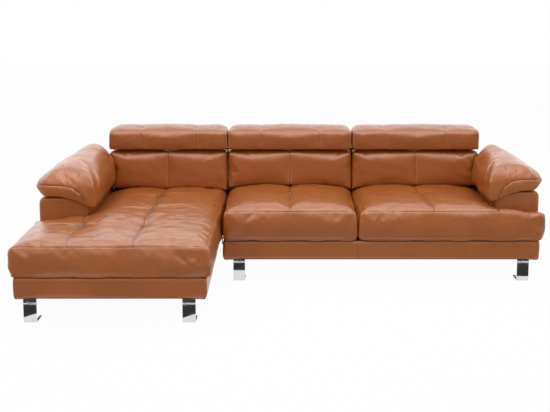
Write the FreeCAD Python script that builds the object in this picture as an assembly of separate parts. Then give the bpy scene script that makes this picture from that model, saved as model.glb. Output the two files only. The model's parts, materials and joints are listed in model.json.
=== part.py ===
import FreeCAD, Part
import math
import os

V = FreeCAD.Vector

# A leather corner sofa in two modules: a chaise with the left arm, and two seats with the right arm.
# Millimetres. The floor is z = 0, x = 0 is the middle of the seats' width, and y = 0 is halfway from
# the chaise's front, at -y, to the back.

# Plan of the two modules
seat_width = 2794.0
chaise_width = 1009.0
middle_seat_width = 750.0
chaise_depth = 1700.0
sofa_depth = 929.0
module_gap = 2.0
soft_gap = 0.3
corner_radius = 30.0

# Base boxes
leg_height = 132.0
base_height = 107.0
base_inset = 28.0
join_inset = 38.0
base_cover_wall = 5.0
dust_cover_wall = 2.0
rail_thickness = 22.0
cross_rail_drop = 36.0
leg_block_height = 40.0
leg_block_margin = 18.0

# Seat cushions
chaise_seat_edge = 404.0
sofa_seat_edge = 416.0
seat_crown = 26.0
seat_over = 3.0
seat_edge_radius = 34.0
seat_rear_radius = 2.0

# Zigzag seat springs and their clips
wire_radius = 1.9
spring_width = 60.0
spring_pitch = 36.0
spring_drop = 6.0
chaise_spring_count = 8
sofa_spring_count = 10
spring_margin = 90.0
clip_width = 18.0
clip_reach = 12.0
clip_height = 9.0
clip_clearance = 0.2
spring_stand_off = 7.0

# Back
back_cover_depth = 125.0
back_cover_top = 636.0
back_cover_wall = 12.0
back_cover_radius = 10.0
back_board = 22.0
back_cushion_depth = 166.0
back_cushion_top = 641.0
back_cushion_fall = 13.0
back_cushion_radius = 30.0
back_cushion_rear_radius = 6.0
cushion_bed = 30.0

# Arms and the pillows that drape over them
arm_inset = 25.0
left_arm_width = 268.0
right_arm_width = 244.0
arm_top = 510.0
arm_wall = 14.0
arm_radius = 12.0
arm_board = 22.0
left_arm_front = 111.0
right_arm_setback = 69.0
arm_rear_inset = 4.0
pillow_overhang = 40.0
pillow_height = 188.0
pillow_over = 3.0
pillow_nose = 22.0
pillow_drape = 64.0
pillow_drape_thickness = 53.0
pillow_rear_gap = 145.0
pillow_crest_start = 130.0

# The pillow's outline: the way in from its edge, the height as a share of pillow_height, and the bend
pillow_outer_edge = ((4.0, 0.0, 8.0), (0.0, 0.3, 30.0), (30.0, 0.72, 45.0), (120.0, 1.0, 80.0))
pillow_inner_edge = ((100.0, 1.0, 80.0), (12.0, 0.52, 70.0), (0.0, -0.05, 30.0))
pillow_front_edge = ((0.0, 0.3, 50.0), (40.0, 0.76, 60.0), (150.0, 0.84, 90.0))
pillow_rear_edge = ((60.0, 1.0, 60.0), (0.0, 0.68, 50.0))
pillow_crest_bend = 200.0
pillow_hem_bend = 10.0
pillow_nose_bend = 20.0
pillow_nose_tuck = 8.0

# Headrests, shown lying back
headrest_depth = 265.0
headrest_face = 100.0
headrest_height = 139.0
headrest_nose = 9.0
headrest_gap = 16.0
headrest_end_gap = 3.0
headrest_radius = 22.0
headrest_end_radius = 14.0
headrest_brow_radius = 26.0
headrest_crest_share = 0.55
headrest_crest_radius = 110.0
headrest_rear_radius = 36.0
headrest_heel = 10.0
headrest_heel_radius = 24.0
headrest_board_depth = 150.0
headrest_board_thickness = 12.0
headrest_board_margin = 45.0
headrest_board_lift = 68.0
headrest_swing_room = 62.0

# Headrest hinges: a fixed arm on the back, a moving plate in the headrest and a pin through both
hinge_plate = 4.0
hinge_side_gap = 0.5
hinge_eye_radius = 11.0
hinge_pin_radius = 4.0
hinge_running_gap = 0.05
hinge_bar = 12.0
hinge_bar_level = 9.0
hinge_share = 0.3
hinge_root_depth = 30.0
hinge_root_drop = 70.0
hinge_inner_bend = 6.0
hinge_outer_bend = 14.0
hinge_pocket_gap = 3.0
pin_head_radius = 6.5
pin_head = 2.0

# Chrome strap legs, each bent from one flat bar
leg_width = 65.0
leg_strap = 8.0
leg_depth = 110.0
leg_top_radius = 12.0
leg_foot_radius = 22.0
leg_setback = 54.0
chaise_left_leg_inset = 103.0
chaise_right_leg_inset = 126.0
sofa_left_leg_inset = 90.0
sofa_right_leg_inset = 112.0

# Leg screws
screw_radius = 4.0
screw_head_radius = 8.0
screw_head = 4.0
screw_socket = 5.0
screw_length = 38.0
screw_spacing_x = 38.0
screw_spacing_y = 60.0
screw_clearance = 0.3
pilot_spare = 1.0

# Support foot under the long module
support_radius = 24.0
support_taper = 0.8
support_flange_radius = 36.0
support_flange = 6.0
support_back_distance = 130.0

# Connectors between the modules
connector_plate = 3.0
connector_width = 60.0
connector_height = 78.0
connector_lip = 30.0
connector_pocket = 20.0
connector_clearance = 0.3
connector_back_distance = 180.0
connector_spacing = 420.0

# Tuft ties: a cord from each tuft down through the foam to a washer under it
tuft_cord_radius = 1.5
tuft_washer_radius = 12.0
tuft_washer = 2.0
tuft_depth = 14.0
chaise_tuft_rows = (402.0, 810.0, 1180.0)
chaise_tuft_columns = (305.0, 630.0)
sofa_tuft_row = 448.0

# Main planes worked out from the sizes above
left_x = -seat_width / 2
right_x = seat_width / 2
join_x = left_x + chaise_width
mid_x = join_x + middle_seat_width
front_y = -chaise_depth / 2
back_y = chaise_depth / 2
sofa_front_y = back_y - sofa_depth
base_top = leg_height + base_height
frame_bottom = leg_height + dust_cover_wall
seat_bottom = base_top + soft_gap
left_arm_outer = left_x + arm_inset
left_arm_inner = left_arm_outer + left_arm_width
right_arm_outer = right_x - arm_inset
right_arm_inner = right_arm_outer - right_arm_width
left_arm_front_y = sofa_front_y - left_arm_front
right_arm_front_y = sofa_front_y + right_arm_setback
arm_rear_y = back_y - arm_rear_inset
back_cover_front_y = back_y - back_cover_depth
back_cushion_front_y = back_cover_front_y - soft_gap - back_cushion_depth
headrest_front_y = back_cushion_front_y - headrest_nose
headrest_rear_y = headrest_front_y + headrest_depth
headrest_bottom = back_cushion_top + headrest_gap
pivot_y = headrest_front_y + headrest_radius
pivot_z = headrest_bottom + headrest_radius

nodes = {}


def keep(name, *solids):
    nodes[name] = list(solids)


def box(x0, x1, y0, y1, z0, z1):
    return Part.makeBox(x1 - x0, y1 - y0, z1 - z0, V(x0, y0, z0))


def soft_box(x0, x1, y0, y1, z0, z1, radius):
    block = box(x0, x1, y0, y1, z0, z1)
    return block.makeFillet(radius, block.Edges)


def place(plane, across, up, along):
    if plane == "YZ":
        return V(along, across, up)
    if plane == "XZ":
        return V(across, along, up)
    return V(across, up, along)


def corner_points(before, here, after):
    # where a corner's arc starts, its middle and where it ends
    if here[2] == 0:
        return [V(here[0], here[1], 0)] * 3
    to_before = V(before[0] - here[0], before[1] - here[1], 0).normalize()
    to_after = V(after[0] - here[0], after[1] - here[1], 0).normalize()
    half = to_before.getAngle(to_after) / 2
    middle = (to_before + to_after).normalize()
    point = V(here[0], here[1], 0)
    reach = here[2] / math.tan(half)
    depth = here[2] / math.sin(half) - here[2]
    return point + to_before * reach, point + middle * depth, point + to_after * reach


def rounded_face(plane, corners, along):
    # a closed outline of (across, up, radius) corners, with tangent arcs where the radius isn't 0
    bends = []
    for index, here in enumerate(corners):
        after = corners[(index + 1) % len(corners)]
        bends.append(corner_points(corners[index - 1], here, after))
    edges = []
    for index, bend in enumerate(bends):
        start, middle, end = [place(plane, p.x, p.y, along) for p in bend]
        if corners[index][2] > 0:
            edges.append(Part.Arc(start, middle, end).toShape())
        ahead = bends[(index + 1) % len(bends)][0]
        target = place(plane, ahead.x, ahead.y, along)
        if end.distanceToPoint(target) > 0.001:
            edges.append(Part.LineSegment(end, target).toShape())
    return Part.Face(Part.Wire(edges))


def prism(plane, corners, start, end):
    face = rounded_face(plane, corners, start)
    return face.extrude(place(plane, 0, 0, end - start))


def crowned_section(plane, low, high, bottom, edge, crown, start, end):
    # a cushion's section: upright sides, rounded upper corners and a top that rises to the middle
    radius = seat_edge_radius
    bevel = radius * (1 - math.sqrt(0.5))
    points = [
        (low, edge - radius),
        (low + bevel, edge - bevel),
        (low + radius, edge),
        ((low + high) / 2, edge + crown),
        (high - radius, edge),
        (high - bevel, edge - bevel),
        (high, edge - radius),
    ]
    at = [place(plane, across, up, start) for across, up in points]
    low_foot = place(plane, low, bottom, start)
    high_foot = place(plane, high, bottom, start)
    edges = [
        Part.LineSegment(low_foot, at[0]).toShape(),
        Part.Arc(at[0], at[1], at[2]).toShape(),
        Part.Arc(at[2], at[3], at[4]).toShape(),
        Part.Arc(at[4], at[5], at[6]).toShape(),
        Part.LineSegment(at[6], high_foot).toShape(),
        Part.LineSegment(high_foot, low_foot).toShape(),
    ]
    return Part.Face(Part.Wire(edges)).extrude(place(plane, 0, 0, end - start))


def seat_cushion(x0, x1, y0, y1, edge):
    across = crowned_section("XZ", x0, x1, seat_bottom, edge, seat_crown, y0, y1)
    along = crowned_section("YZ", y0, y1, seat_bottom, edge, seat_crown + seat_over, x0, x1)
    radius = corner_radius
    rear = seat_rear_radius
    plan = [(x0, y0, radius), (x1, y0, radius), (x1, y1, rear), (x0, y1, rear)]
    footprint = prism("XY", plan, seat_bottom, edge + 2 * seat_crown)
    return across.common(along).common(footprint)


# The outer sizes of each module's base box

def base_plan(module):
    if module == "chaise":
        return left_x + base_inset, join_x - join_inset, front_y + base_inset
    return join_x + module_gap, right_x - base_inset, sofa_front_y + base_inset


base_rear_y = back_y - base_inset


def make_base_covers(module):
    x0, x1, y0 = base_plan(module)
    y1 = base_rear_y
    wall = base_cover_wall
    keep(module + "_base_cover_front", box(x0, x1, y0, y0 + wall, leg_height, base_top))
    keep(module + "_base_cover_back", box(x0, x1, y1 - wall, y1, leg_height, base_top))
    keep(module + "_base_cover_left", box(x0, x0 + wall, y0 + wall, y1 - wall, leg_height, base_top))
    keep(module + "_base_cover_right", box(x1 - wall, x1, y0 + wall, y1 - wall, leg_height, base_top))


# Legs stand at each module's corners: centre x, outer face y, and the way the foot points along y

def leg_places(module):
    if module == "chaise":
        x_left = left_x + chaise_left_leg_inset
        x_right = join_x - chaise_right_leg_inset
        y_front = front_y + leg_setback
    else:
        x_left = join_x + sofa_left_leg_inset
        x_right = right_x - sofa_right_leg_inset
        y_front = sofa_front_y + leg_setback
    y_rear = back_y - leg_setback
    return {
        "front_left": (x_left, y_front, 1),
        "front_right": (x_right, y_front, 1),
        "rear_left": (x_left, y_rear, -1),
        "rear_right": (x_right, y_rear, -1),
    }


def screw_places(spot):
    x, y, way = spot
    middle_y = y + way * (leg_depth + leg_strap) / 2
    for x_side in (-0.5, 0.5):
        for y_side in (-0.5, 0.5):
            yield x + x_side * screw_spacing_x, middle_y + y_side * screw_spacing_y


def make_leg(module, corner, spot):
    x, y, way = spot
    far = y + way * leg_depth
    inside = y + way * leg_strap
    inner_top = leg_top_radius - leg_strap
    inner_foot = leg_foot_radius - leg_strap
    top = leg_height
    outline = [
        (far, 0, 0),
        (y, 0, leg_foot_radius),
        (y, top, leg_top_radius),
        (far, top, 0),
        (far, top - leg_strap, 0),
        (inside, top - leg_strap, inner_top),
        (inside, leg_strap, inner_foot),
        (far, leg_strap, 0),
    ]
    strap = prism("YZ", outline, x - leg_width / 2, x + leg_width / 2)
    for screw_x, screw_y in screw_places(spot):
        hole = Part.makeCylinder(
            screw_radius + screw_clearance, 2 * leg_strap, V(screw_x, screw_y, top - 1.5 * leg_strap)
        )
        strap = strap.cut(hole)
    keep(module + "_leg_" + corner, strap)


def make_screw(x, y):
    seat = leg_height - leg_strap
    head = Part.makeCylinder(screw_head_radius, screw_head, V(x, y, seat - screw_head))
    shank = Part.makeCylinder(screw_radius, screw_length, V(x, y, seat))
    screw = head.fuse(shank).removeSplitter()
    corners = []
    for step in range(6):
        angle = math.radians(60 * step)
        corners.append((x + screw_socket * math.cos(angle), y + screw_socket * math.sin(angle), 0))
    socket = prism("XY", corners, seat - screw_head, seat - screw_head / 3)
    return screw.cut(socket)


def make_base_frame(module, dividers, support):
    # rails glued into a box, lower cross rails, and a block over each leg
    x0, x1, y0 = base_plan(module)
    x0 += base_cover_wall
    x1 -= base_cover_wall
    y0 += base_cover_wall
    y1 = base_rear_y - base_cover_wall
    rail = rail_thickness
    frame = box(x0, x1, y0, y1, frame_bottom, base_top)
    frame = frame.cut(box(x0 + rail, x1 - rail, y0 + rail, y1 - rail, frame_bottom, base_top))
    cross_top = base_top - cross_rail_drop
    for axis, position in dividers:
        if axis == "x":
            cross = box(position - rail / 2, position + rail / 2, y0, y1, frame_bottom, cross_top)
        else:
            cross = box(x0, x1, position - rail / 2, position + rail / 2, frame_bottom, cross_top)
        frame = frame.fuse(cross)
    block_top = frame_bottom + leg_block_height
    half = leg_width / 2 + leg_block_margin
    pilots = []
    for spot in leg_places(module).values():
        x, y, way = spot
        rail_y = y0 if way > 0 else y1
        near, far = sorted((rail_y, y + way * leg_depth))
        frame = frame.fuse(box(x - half, x + half, near, far, frame_bottom, block_top))
        pilots.extend(screw_places(spot))
    if support:
        x, y = support
        half = support_flange_radius
        frame = frame.fuse(box(x - half, x + half, y - half, y1, frame_bottom, block_top))
    pilot_top = leg_height - leg_strap + screw_length
    for x, y in pilots:
        depth = pilot_top - frame_bottom + pilot_spare
        frame = frame.cut(Part.makeCylinder(screw_radius, depth, V(x, y, frame_bottom)))
    keep(module + "_base_frame", frame.removeSplitter())


def make_dust_cover(module):
    x0, x1, y0 = base_plan(module)
    wall = base_cover_wall
    cloth = box(x0 + wall, x1 - wall, y0 + wall, base_rear_y - wall, leg_height, frame_bottom)
    for spot in leg_places(module).values():
        for x, y in screw_places(spot):
            hole = Part.makeCylinder(screw_radius + screw_clearance, dust_cover_wall, V(x, y, leg_height))
            cloth = cloth.cut(hole)
    keep(module + "_dust_cover", cloth)


def make_support_foot(x, y):
    neck = support_radius * support_taper
    post = Part.makeCone(support_radius, neck, leg_height - support_flange, V(x, y, 0))
    flange = Part.makeCylinder(support_flange_radius, support_flange, V(x, y, leg_height - support_flange))
    keep("centre_support_foot", post.fuse(flange).removeSplitter())


def zigzag(origin, run, side, span):
    # one wire with straight bars across the run and half-circle bends between them
    bars = int(round(span / spring_pitch)) + 1
    pitch = span / (bars - 1)
    half = spring_width / 2 - pitch / 2
    edges = []
    for index in range(bars):
        turn = 1 if index % 2 == 0 else -1
        start = origin + run * (index * pitch) - side * (half * turn)
        end = start + side * (2 * half * turn)
        edges.append(Part.LineSegment(start, end).toShape())
        if index < bars - 1:
            crest = end + run * (pitch / 2) + side * (pitch / 2 * turn)
            edges.append(Part.Arc(end, crest, end + run * pitch).toShape())
    first = origin - side * half
    section = Part.Wire([Part.Circle(first, side, wire_radius).toShape()])
    return Part.Wire(edges).makePipeShell([section], True, True)


def spring_clip(point, run, side):
    # a block that holds a spring's end bar against its rail
    low = point - run * spring_stand_off - side * (clip_width / 2) - V(0, 0, clip_height / 2)
    high = low + run * clip_reach + side * clip_width + V(0, 0, clip_height)
    block = box(
        min(low.x, high.x), max(low.x, high.x), min(low.y, high.y), max(low.y, high.y), low.z, high.z
    )
    start = point - side * clip_width
    bore = Part.makeCylinder(wire_radius + clip_clearance, 2 * clip_width, start, side)
    return block.cut(bore)


def make_springs(module, run, side, origins, span):
    clips = []
    springs = []
    for origin in origins:
        springs.append(zigzag(origin, run, side, span))
        clips.append(spring_clip(origin, run, side))
        clips.append(spring_clip(origin + run * span, run * -1, side))
    keep(module + "_seat_springs", *springs)
    return clips


def spread(low, high, count):
    return [low + (high - low) * (index + 0.5) / count for index in range(count)]


def make_seat_suspension():
    level = base_top - spring_drop
    stand = base_cover_wall + rail_thickness + spring_stand_off
    x0, x1, y0 = base_plan("chaise")
    rows = spread(y0 + spring_margin, back_cushion_front_y + spring_margin, chaise_spring_count)
    origins = [V(x0 + stand, y, level) for y in rows]
    clips = make_springs("chaise", V(1, 0, 0), V(0, 1, 0), origins, x1 - x0 - 2 * stand)
    x0, x1, y0 = base_plan("sofa")
    columns = spread(x0 + spring_margin / 2, right_arm_inner, sofa_spring_count)
    origins = [V(x, y0 + stand, level) for x in columns]
    span = base_rear_y - y0 - 2 * stand
    clips.extend(make_springs("sofa", V(0, 1, 0), V(1, 0, 0), origins, span))
    keep("spring_clips", *clips)


def arm_space(side):
    # the room that an arm takes, with a soft clearance, for cutting seat cushions
    top = sofa_seat_edge + 4 * seat_crown
    if side == "left":
        return box(
            left_x - 1, left_arm_inner + soft_gap, left_arm_front_y - soft_gap, back_y, base_top, top
        )
    return box(
        right_arm_inner - soft_gap, right_x + 1, right_arm_front_y - soft_gap, back_y, base_top, top
    )


def make_seat_cushions():
    rear = back_cover_front_y - soft_gap
    chaise = seat_cushion(left_x, join_x - module_gap / 2, front_y, rear, chaise_seat_edge)
    middle = seat_cushion(
        join_x + module_gap / 2, mid_x - module_gap / 2, sofa_front_y, rear, sofa_seat_edge
    )
    right = seat_cushion(mid_x + module_gap / 2, right_x, sofa_front_y, rear, sofa_seat_edge)
    return {
        "chaise": chaise.cut(arm_space("left")),
        "middle": middle,
        "right": right.cut(arm_space("right")),
    }


# The three places across the back, from arm to arm

def back_bays():
    gap = headrest_end_gap
    return {
        "chaise": (left_arm_inner + gap, join_x - gap / 2),
        "middle": (join_x + gap / 2, mid_x - gap / 2),
        "right": (mid_x + gap / 2, right_arm_inner - gap),
    }


def hinge_columns(bay):
    low, high = bay
    middle = (low + high) / 2
    offset = hinge_share * (high - low)
    return middle - offset, middle + offset


def make_back_cushions(seats):
    for name, bay in back_bays().items():
        x0, x1 = bay
        front = back_cushion_front_y
        rear = back_cover_front_y - soft_gap
        foot = sofa_seat_edge - cushion_bed
        bend = back_cushion_radius
        rear_bend = back_cushion_rear_radius
        outline = [
            (front, foot, 0),
            (front, back_cushion_top, bend),
            (rear, back_cushion_top - back_cushion_fall, rear_bend),
            (rear, foot, 0),
        ]
        plan = [(x0, front, bend), (x1, front, bend), (x1, rear, rear_bend), (x0, rear, rear_bend)]
        cushion = prism("YZ", outline, x0, x1).common(prism("XY", plan, foot, back_cushion_top))
        lifted = seats[name].copy()
        lifted.translate(V(0, 0, soft_gap))
        cushion = cushion.cut(lifted)
        keep(name + "_back_cushion", max(cushion.Solids, key=lambda solid: solid.Volume))


def make_back(module, x0, x1, posts):
    # a closed padded cover around a frame of boards set on edge
    wall = back_cover_wall
    cover = soft_box(x0, x1, back_cover_front_y, back_y, base_top, back_cover_top, back_cover_radius)
    room = (x0 + wall, x1 - wall, back_cover_front_y + wall, back_y - wall)
    inside = box(*room, base_top + wall, back_cover_top - wall)
    cover = cover.cut(inside)
    frame = inside
    board = back_board
    edges = [x0 + wall]
    for post in posts:
        edges.extend([post - board / 2, post + board / 2])
    edges.append(x1 - wall)
    for low, high in zip(edges[0::2], edges[1::2]):
        first = low + board if low == edges[0] else low
        last = high - board if high == edges[-1] else high
        pocket = box(
            first, last, room[2], room[3], base_top + wall + board, back_cover_top - wall - board
        )
        frame = frame.cut(pocket)
    return cover, frame


def make_arm(side):
    if side == "left":
        x0, x1, y0 = left_arm_outer, left_arm_inner, left_arm_front_y
    else:
        x0, x1, y0 = right_arm_inner, right_arm_outer, right_arm_front_y
    wall = arm_wall
    board = arm_board
    cover = soft_box(x0, x1, y0, arm_rear_y, base_top, arm_top, arm_radius)
    inside = box(
        x0 + wall, x1 - wall, y0 + wall, arm_rear_y - wall, base_top + wall, arm_top - wall
    )
    middle = (y0 + arm_rear_y) / 2
    low = base_top + wall + board
    high = arm_top - wall - board
    front_bay = (y0 + wall + board, middle - board / 2)
    rear_bay = (middle + board / 2, arm_rear_y - wall - board)
    frame = inside
    for start, end in (front_bay, rear_bay):
        frame = frame.cut(box(x0 + wall, x1 - wall, start, end, low, high))
    keep(side + "_arm_cover", cover.cut(inside))
    keep(side + "_arm_frame", frame)


def make_arm_pillow(side, seat):
    # a padded cap that lies on the arm, hangs over its inner side and overhangs the outer one
    if side == "left":
        way, outer, inner, front = 1, left_arm_outer, left_arm_inner, left_arm_front_y
    else:
        way, outer, inner, front = -1, right_arm_outer, right_arm_inner, right_arm_front_y
    crest = arm_top + pillow_height
    edge = outer - way * pillow_overhang
    drape_bottom = arm_top - pillow_drape
    drape = inner + way * pillow_drape_thickness
    seat_level = arm_top + soft_gap
    section = []
    for inward, share, bend in pillow_outer_edge:
        section.append((edge + way * inward, seat_level + share * pillow_height, bend))
    for inward, share, bend in pillow_inner_edge:
        section.append((drape - way * inward, seat_level + share * pillow_height, bend))
    section.extend([
        (drape - way * pillow_hem_bend, drape_bottom, pillow_hem_bend),
        (inner + way * soft_gap, drape_bottom, 0),
        (inner + way * soft_gap, seat_level, 0),
    ])
    nose = front - pillow_nose
    rear = back_y - pillow_rear_gap
    profile = [(nose + pillow_nose_tuck, drape_bottom, pillow_nose_bend)]
    for inward, share, bend in pillow_front_edge:
        profile.append((nose + inward, arm_top + share * pillow_height, bend))
    crest_start = back_cushion_front_y - pillow_crest_start
    profile.append((crest_start, crest + pillow_over, pillow_crest_bend))
    for inward, share, bend in pillow_rear_edge:
        profile.append((rear - inward, arm_top + pillow_over + share * pillow_height, bend))
    profile.append((rear, drape_bottom, 0))
    x0, x1 = sorted((edge, drape))
    pillow = prism("XZ", section, nose, rear).common(prism("YZ", profile, x0, x1))
    beyond = inner + way * 2 * pillow_drape_thickness
    x0, x1 = sorted((inner - way * soft_gap, beyond))
    rear_cut = box(x0, x1, back_cushion_front_y - soft_gap, back_y, drape_bottom, crest)
    swing_front = headrest_front_y - headrest_swing_room
    swing_cut = box(x0, x1, swing_front, back_y, headrest_bottom - soft_gap, crest)
    lifted = seat.copy()
    lifted.translate(V(0, 0, soft_gap))
    pillow = pillow.cut(rear_cut).cut(swing_cut).cut(lifted)
    keep(side + "_arm_pillow", max(pillow.Solids, key=lambda solid: solid.Volume))


# Headrest hinges, drawn in side view about the pivot

def hinge_eye(x0, radius):
    return Part.makeCylinder(radius, hinge_plate, V(x0, pivot_y, pivot_z), V(1, 0, 0))


def fixed_hinge_arm(x0):
    # a bar from inside the back, forward over the back cushion and up to the pivot
    root_y = back_cover_front_y + back_cover_wall + back_cover_radius
    level = back_cushion_top + hinge_bar_level
    half = hinge_bar / 2
    knee_y = pivot_y + 2 * (pivot_z - level)
    slope = math.hypot(knee_y - pivot_y, pivot_z - level)
    rise = (pivot_z - level) / slope * half
    lean = (knee_y - pivot_y) / slope * half
    tight = hinge_inner_bend
    wide = hinge_outer_bend
    root_bottom = back_cover_top - hinge_root_drop
    outline = [
        (pivot_y - rise, pivot_z - lean, 0),
        (knee_y - rise, level - half, tight),
        (root_y, level - half, tight),
        (root_y, root_bottom, tight),
        (root_y + hinge_root_depth, root_bottom, tight),
        (root_y + hinge_root_depth, level + half, wide),
        (knee_y + rise, level + half, wide),
        (pivot_y + rise, pivot_z + lean, 0),
    ]
    bar = prism("YZ", outline, x0, x0 + hinge_plate)
    arm = bar.fuse(hinge_eye(x0, hinge_eye_radius))
    return arm.cut(hinge_eye(x0, hinge_pin_radius)).removeSplitter()


def moving_hinge_plate(x0):
    # a plate from the pivot up to the underside of the headrest's board
    board_bottom = headrest_bottom + headrest_board_lift
    reach = hinge_eye_radius
    outline = [
        (pivot_y - reach, pivot_z, 0),
        (pivot_y + reach, pivot_z, 0),
        (pivot_y + headrest_board_depth / 2, board_bottom - hinge_bar, hinge_inner_bend),
        (pivot_y + headrest_board_depth / 2, board_bottom, 0),
        (pivot_y + reach, board_bottom, 0),
    ]
    bar = prism("YZ", outline, x0, x0 + hinge_plate)
    plate = bar.fuse(hinge_eye(x0, hinge_eye_radius))
    return plate.cut(hinge_eye(x0, hinge_pin_radius + hinge_running_gap)).removeSplitter()


def hinge_pin(x0):
    # riveted in the fixed arm, running in the moving plate
    length = 2 * hinge_plate + hinge_side_gap
    head_gap = hinge_side_gap / 2
    centre = V(x0, pivot_y, pivot_z)
    way = V(1, 0, 0)
    pin = Part.makeCylinder(hinge_pin_radius, length + head_gap, centre, way)
    left_head = Part.makeCylinder(pin_head_radius, pin_head, centre - way * pin_head, way)
    right_head = Part.makeCylinder(pin_head_radius, pin_head, centre + way * (length + head_gap), way)
    return pin.fuse(left_head).fuse(right_head).removeSplitter()


def hinge_pocket(x0):
    # the slit in the headrest's underside that the fixed arm swings in
    gap = hinge_pocket_gap
    width = 2 * hinge_plate + hinge_side_gap
    reach = 2 * headrest_radius + hinge_bar + 4 * gap
    return box(
        x0 - pin_head - gap,
        x0 + width + pin_head + gap,
        pivot_y - hinge_eye_radius - gap,
        pivot_y + reach,
        headrest_bottom - 1,
        pivot_z + hinge_eye_radius + gap,
    )


def headrest_outline():
    front = headrest_front_y
    rear = headrest_rear_y
    bottom = headrest_bottom
    top = bottom + headrest_height
    return [
        (front, bottom, headrest_radius),
        (front, bottom + headrest_face, headrest_brow_radius),
        (front + headrest_crest_share * headrest_depth, top, headrest_crest_radius),
        (rear, top - headrest_radius, headrest_rear_radius),
        (rear, bottom + headrest_heel, headrest_heel_radius),
    ]


def make_headrest(name, bay):
    x0, x1 = bay
    front = headrest_front_y
    rear = headrest_rear_y
    round_end = headrest_end_radius
    plan = [(x0, front, round_end), (x1, front, round_end), (x1, rear, round_end), (x0, rear, round_end)]
    cushion = prism("YZ", headrest_outline(), x0, x1)
    cushion = cushion.common(prism("XY", plan, headrest_bottom, headrest_bottom + headrest_height))
    board_bottom = headrest_bottom + headrest_board_lift
    margin = headrest_board_margin
    board = box(
        x0 + margin,
        x1 - margin,
        pivot_y + hinge_eye_radius,
        pivot_y + hinge_eye_radius + headrest_board_depth,
        board_bottom,
        board_bottom + headrest_board_thickness,
    )
    cushion = cushion.cut(board)
    arms = []
    plates = []
    pins = []
    for column in hinge_columns(bay):
        arms.append(fixed_hinge_arm(column))
        pins.append(hinge_pin(column))
        plate = moving_hinge_plate(column + hinge_plate + hinge_side_gap)
        plates.append(plate)
        cushion = cushion.cut(hinge_pocket(column)).cut(plate)
    keep(name + "_headrest_cushion", cushion)
    keep(name + "_headrest_board", board)
    keep(name + "_hinge_plates", *plates)
    keep(name + "_hinge_arms", *arms)
    keep(name + "_hinge_pins", *pins)


def make_backs():
    # each back has slots in its cover and top board for the headrest arms
    bays = back_bays()
    chaise_posts = [sum(bays["chaise"]) / 2]
    sofa_posts = [sum(bays["middle"]) / 2, mid_x, sum(bays["right"]) / 2]
    edge = module_gap / 2
    spans = {
        "chaise": (left_arm_inner + soft_gap, join_x - edge, chaise_posts, ("chaise",)),
        "sofa": (join_x + edge, right_arm_inner - soft_gap, sofa_posts, ("middle", "right")),
    }
    for module, (x0, x1, posts, rests) in spans.items():
        cover, frame = make_back(module, x0, x1, posts)
        for rest in rests:
            for arm in nodes[rest + "_hinge_arms"]:
                cover = cover.cut(arm)
                frame = frame.cut(arm)
        keep(module + "_back_cover", cover)
        keep(module + "_back_frame", frame)


# Connectors: hooks on the chaise drop into pockets on the long module

def make_connectors():
    hooks = []
    pockets = []
    plate = connector_plate
    gap = connector_clearance
    x_hook = join_x - join_inset
    x_pocket = join_x + module_gap
    middle_z = leg_height + base_height / 2
    z0 = middle_z - connector_height / 2
    z1 = middle_z + connector_height / 2
    lip_x = x_pocket - plate - connector_pocket
    lip_top = z0 + connector_lip
    tongue_x = lip_x + plate + connector_pocket / 2
    for step in range(2):
        y0 = back_y - connector_back_distance - step * connector_spacing
        y1 = y0 + connector_width
        inset = connector_width / 6
        back_plate = box(x_pocket - plate, x_pocket, y0, y1, z0, z1)
        floor = box(lip_x, x_pocket, y0, y1, z0, z0 + plate)
        lip = box(lip_x, lip_x + plate, y0, y1, z0, lip_top)
        pockets.append(back_plate.fuse(floor).fuse(lip).removeSplitter())
        hook_plate = box(x_hook, x_hook + plate, y0, y1, z0, z1)
        bridge = box(
            x_hook, tongue_x, y0 + inset, y1 - inset, lip_top + gap, lip_top + gap + plate
        )
        tongue = box(
            tongue_x - plate, tongue_x, y0 + inset, y1 - inset, z0 + plate + gap, lip_top + gap + plate
        )
        hooks.append(hook_plate.fuse(bridge).fuse(tongue).removeSplitter())
    keep("connector_hooks", *hooks)
    keep("connector_pockets", *pockets)


def top_height(shape, x, y):
    # the height of a cushion's top at one place
    probe = Part.makeCylinder(tuft_cord_radius, arm_top - seat_bottom, V(x, y, seat_bottom))
    return shape.common(probe).BoundBox.ZMax


def tuft_spots():
    spots = []
    for row in chaise_tuft_rows:
        for column in chaise_tuft_columns:
            spots.append(("chaise", left_x + column, front_y + row))
    y = sofa_front_y + sofa_tuft_row
    spots.append(("middle", (join_x + mid_x) / 2, y))
    spots.append(("right", (mid_x + right_arm_inner) / 2, y))
    return spots


def make_tuft_ties(seats):
    ties = []
    for name, x, y in tuft_spots():
        under_arm = y > left_arm_front_y and x < left_arm_inner + pillow_drape_thickness
        if name == "chaise" and under_arm:
            continue
        top = top_height(seats[name], x, y)
        washer = Part.makeCylinder(tuft_washer_radius, tuft_washer, V(x, y, seat_bottom))
        cord = Part.makeCylinder(tuft_cord_radius, top - seat_bottom - tuft_depth, V(x, y, seat_bottom))
        tie = washer.fuse(cord).removeSplitter()
        seats[name] = seats[name].cut(tie)
        ties.append(tie)
    keep("tuft_ties", *ties)


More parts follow.
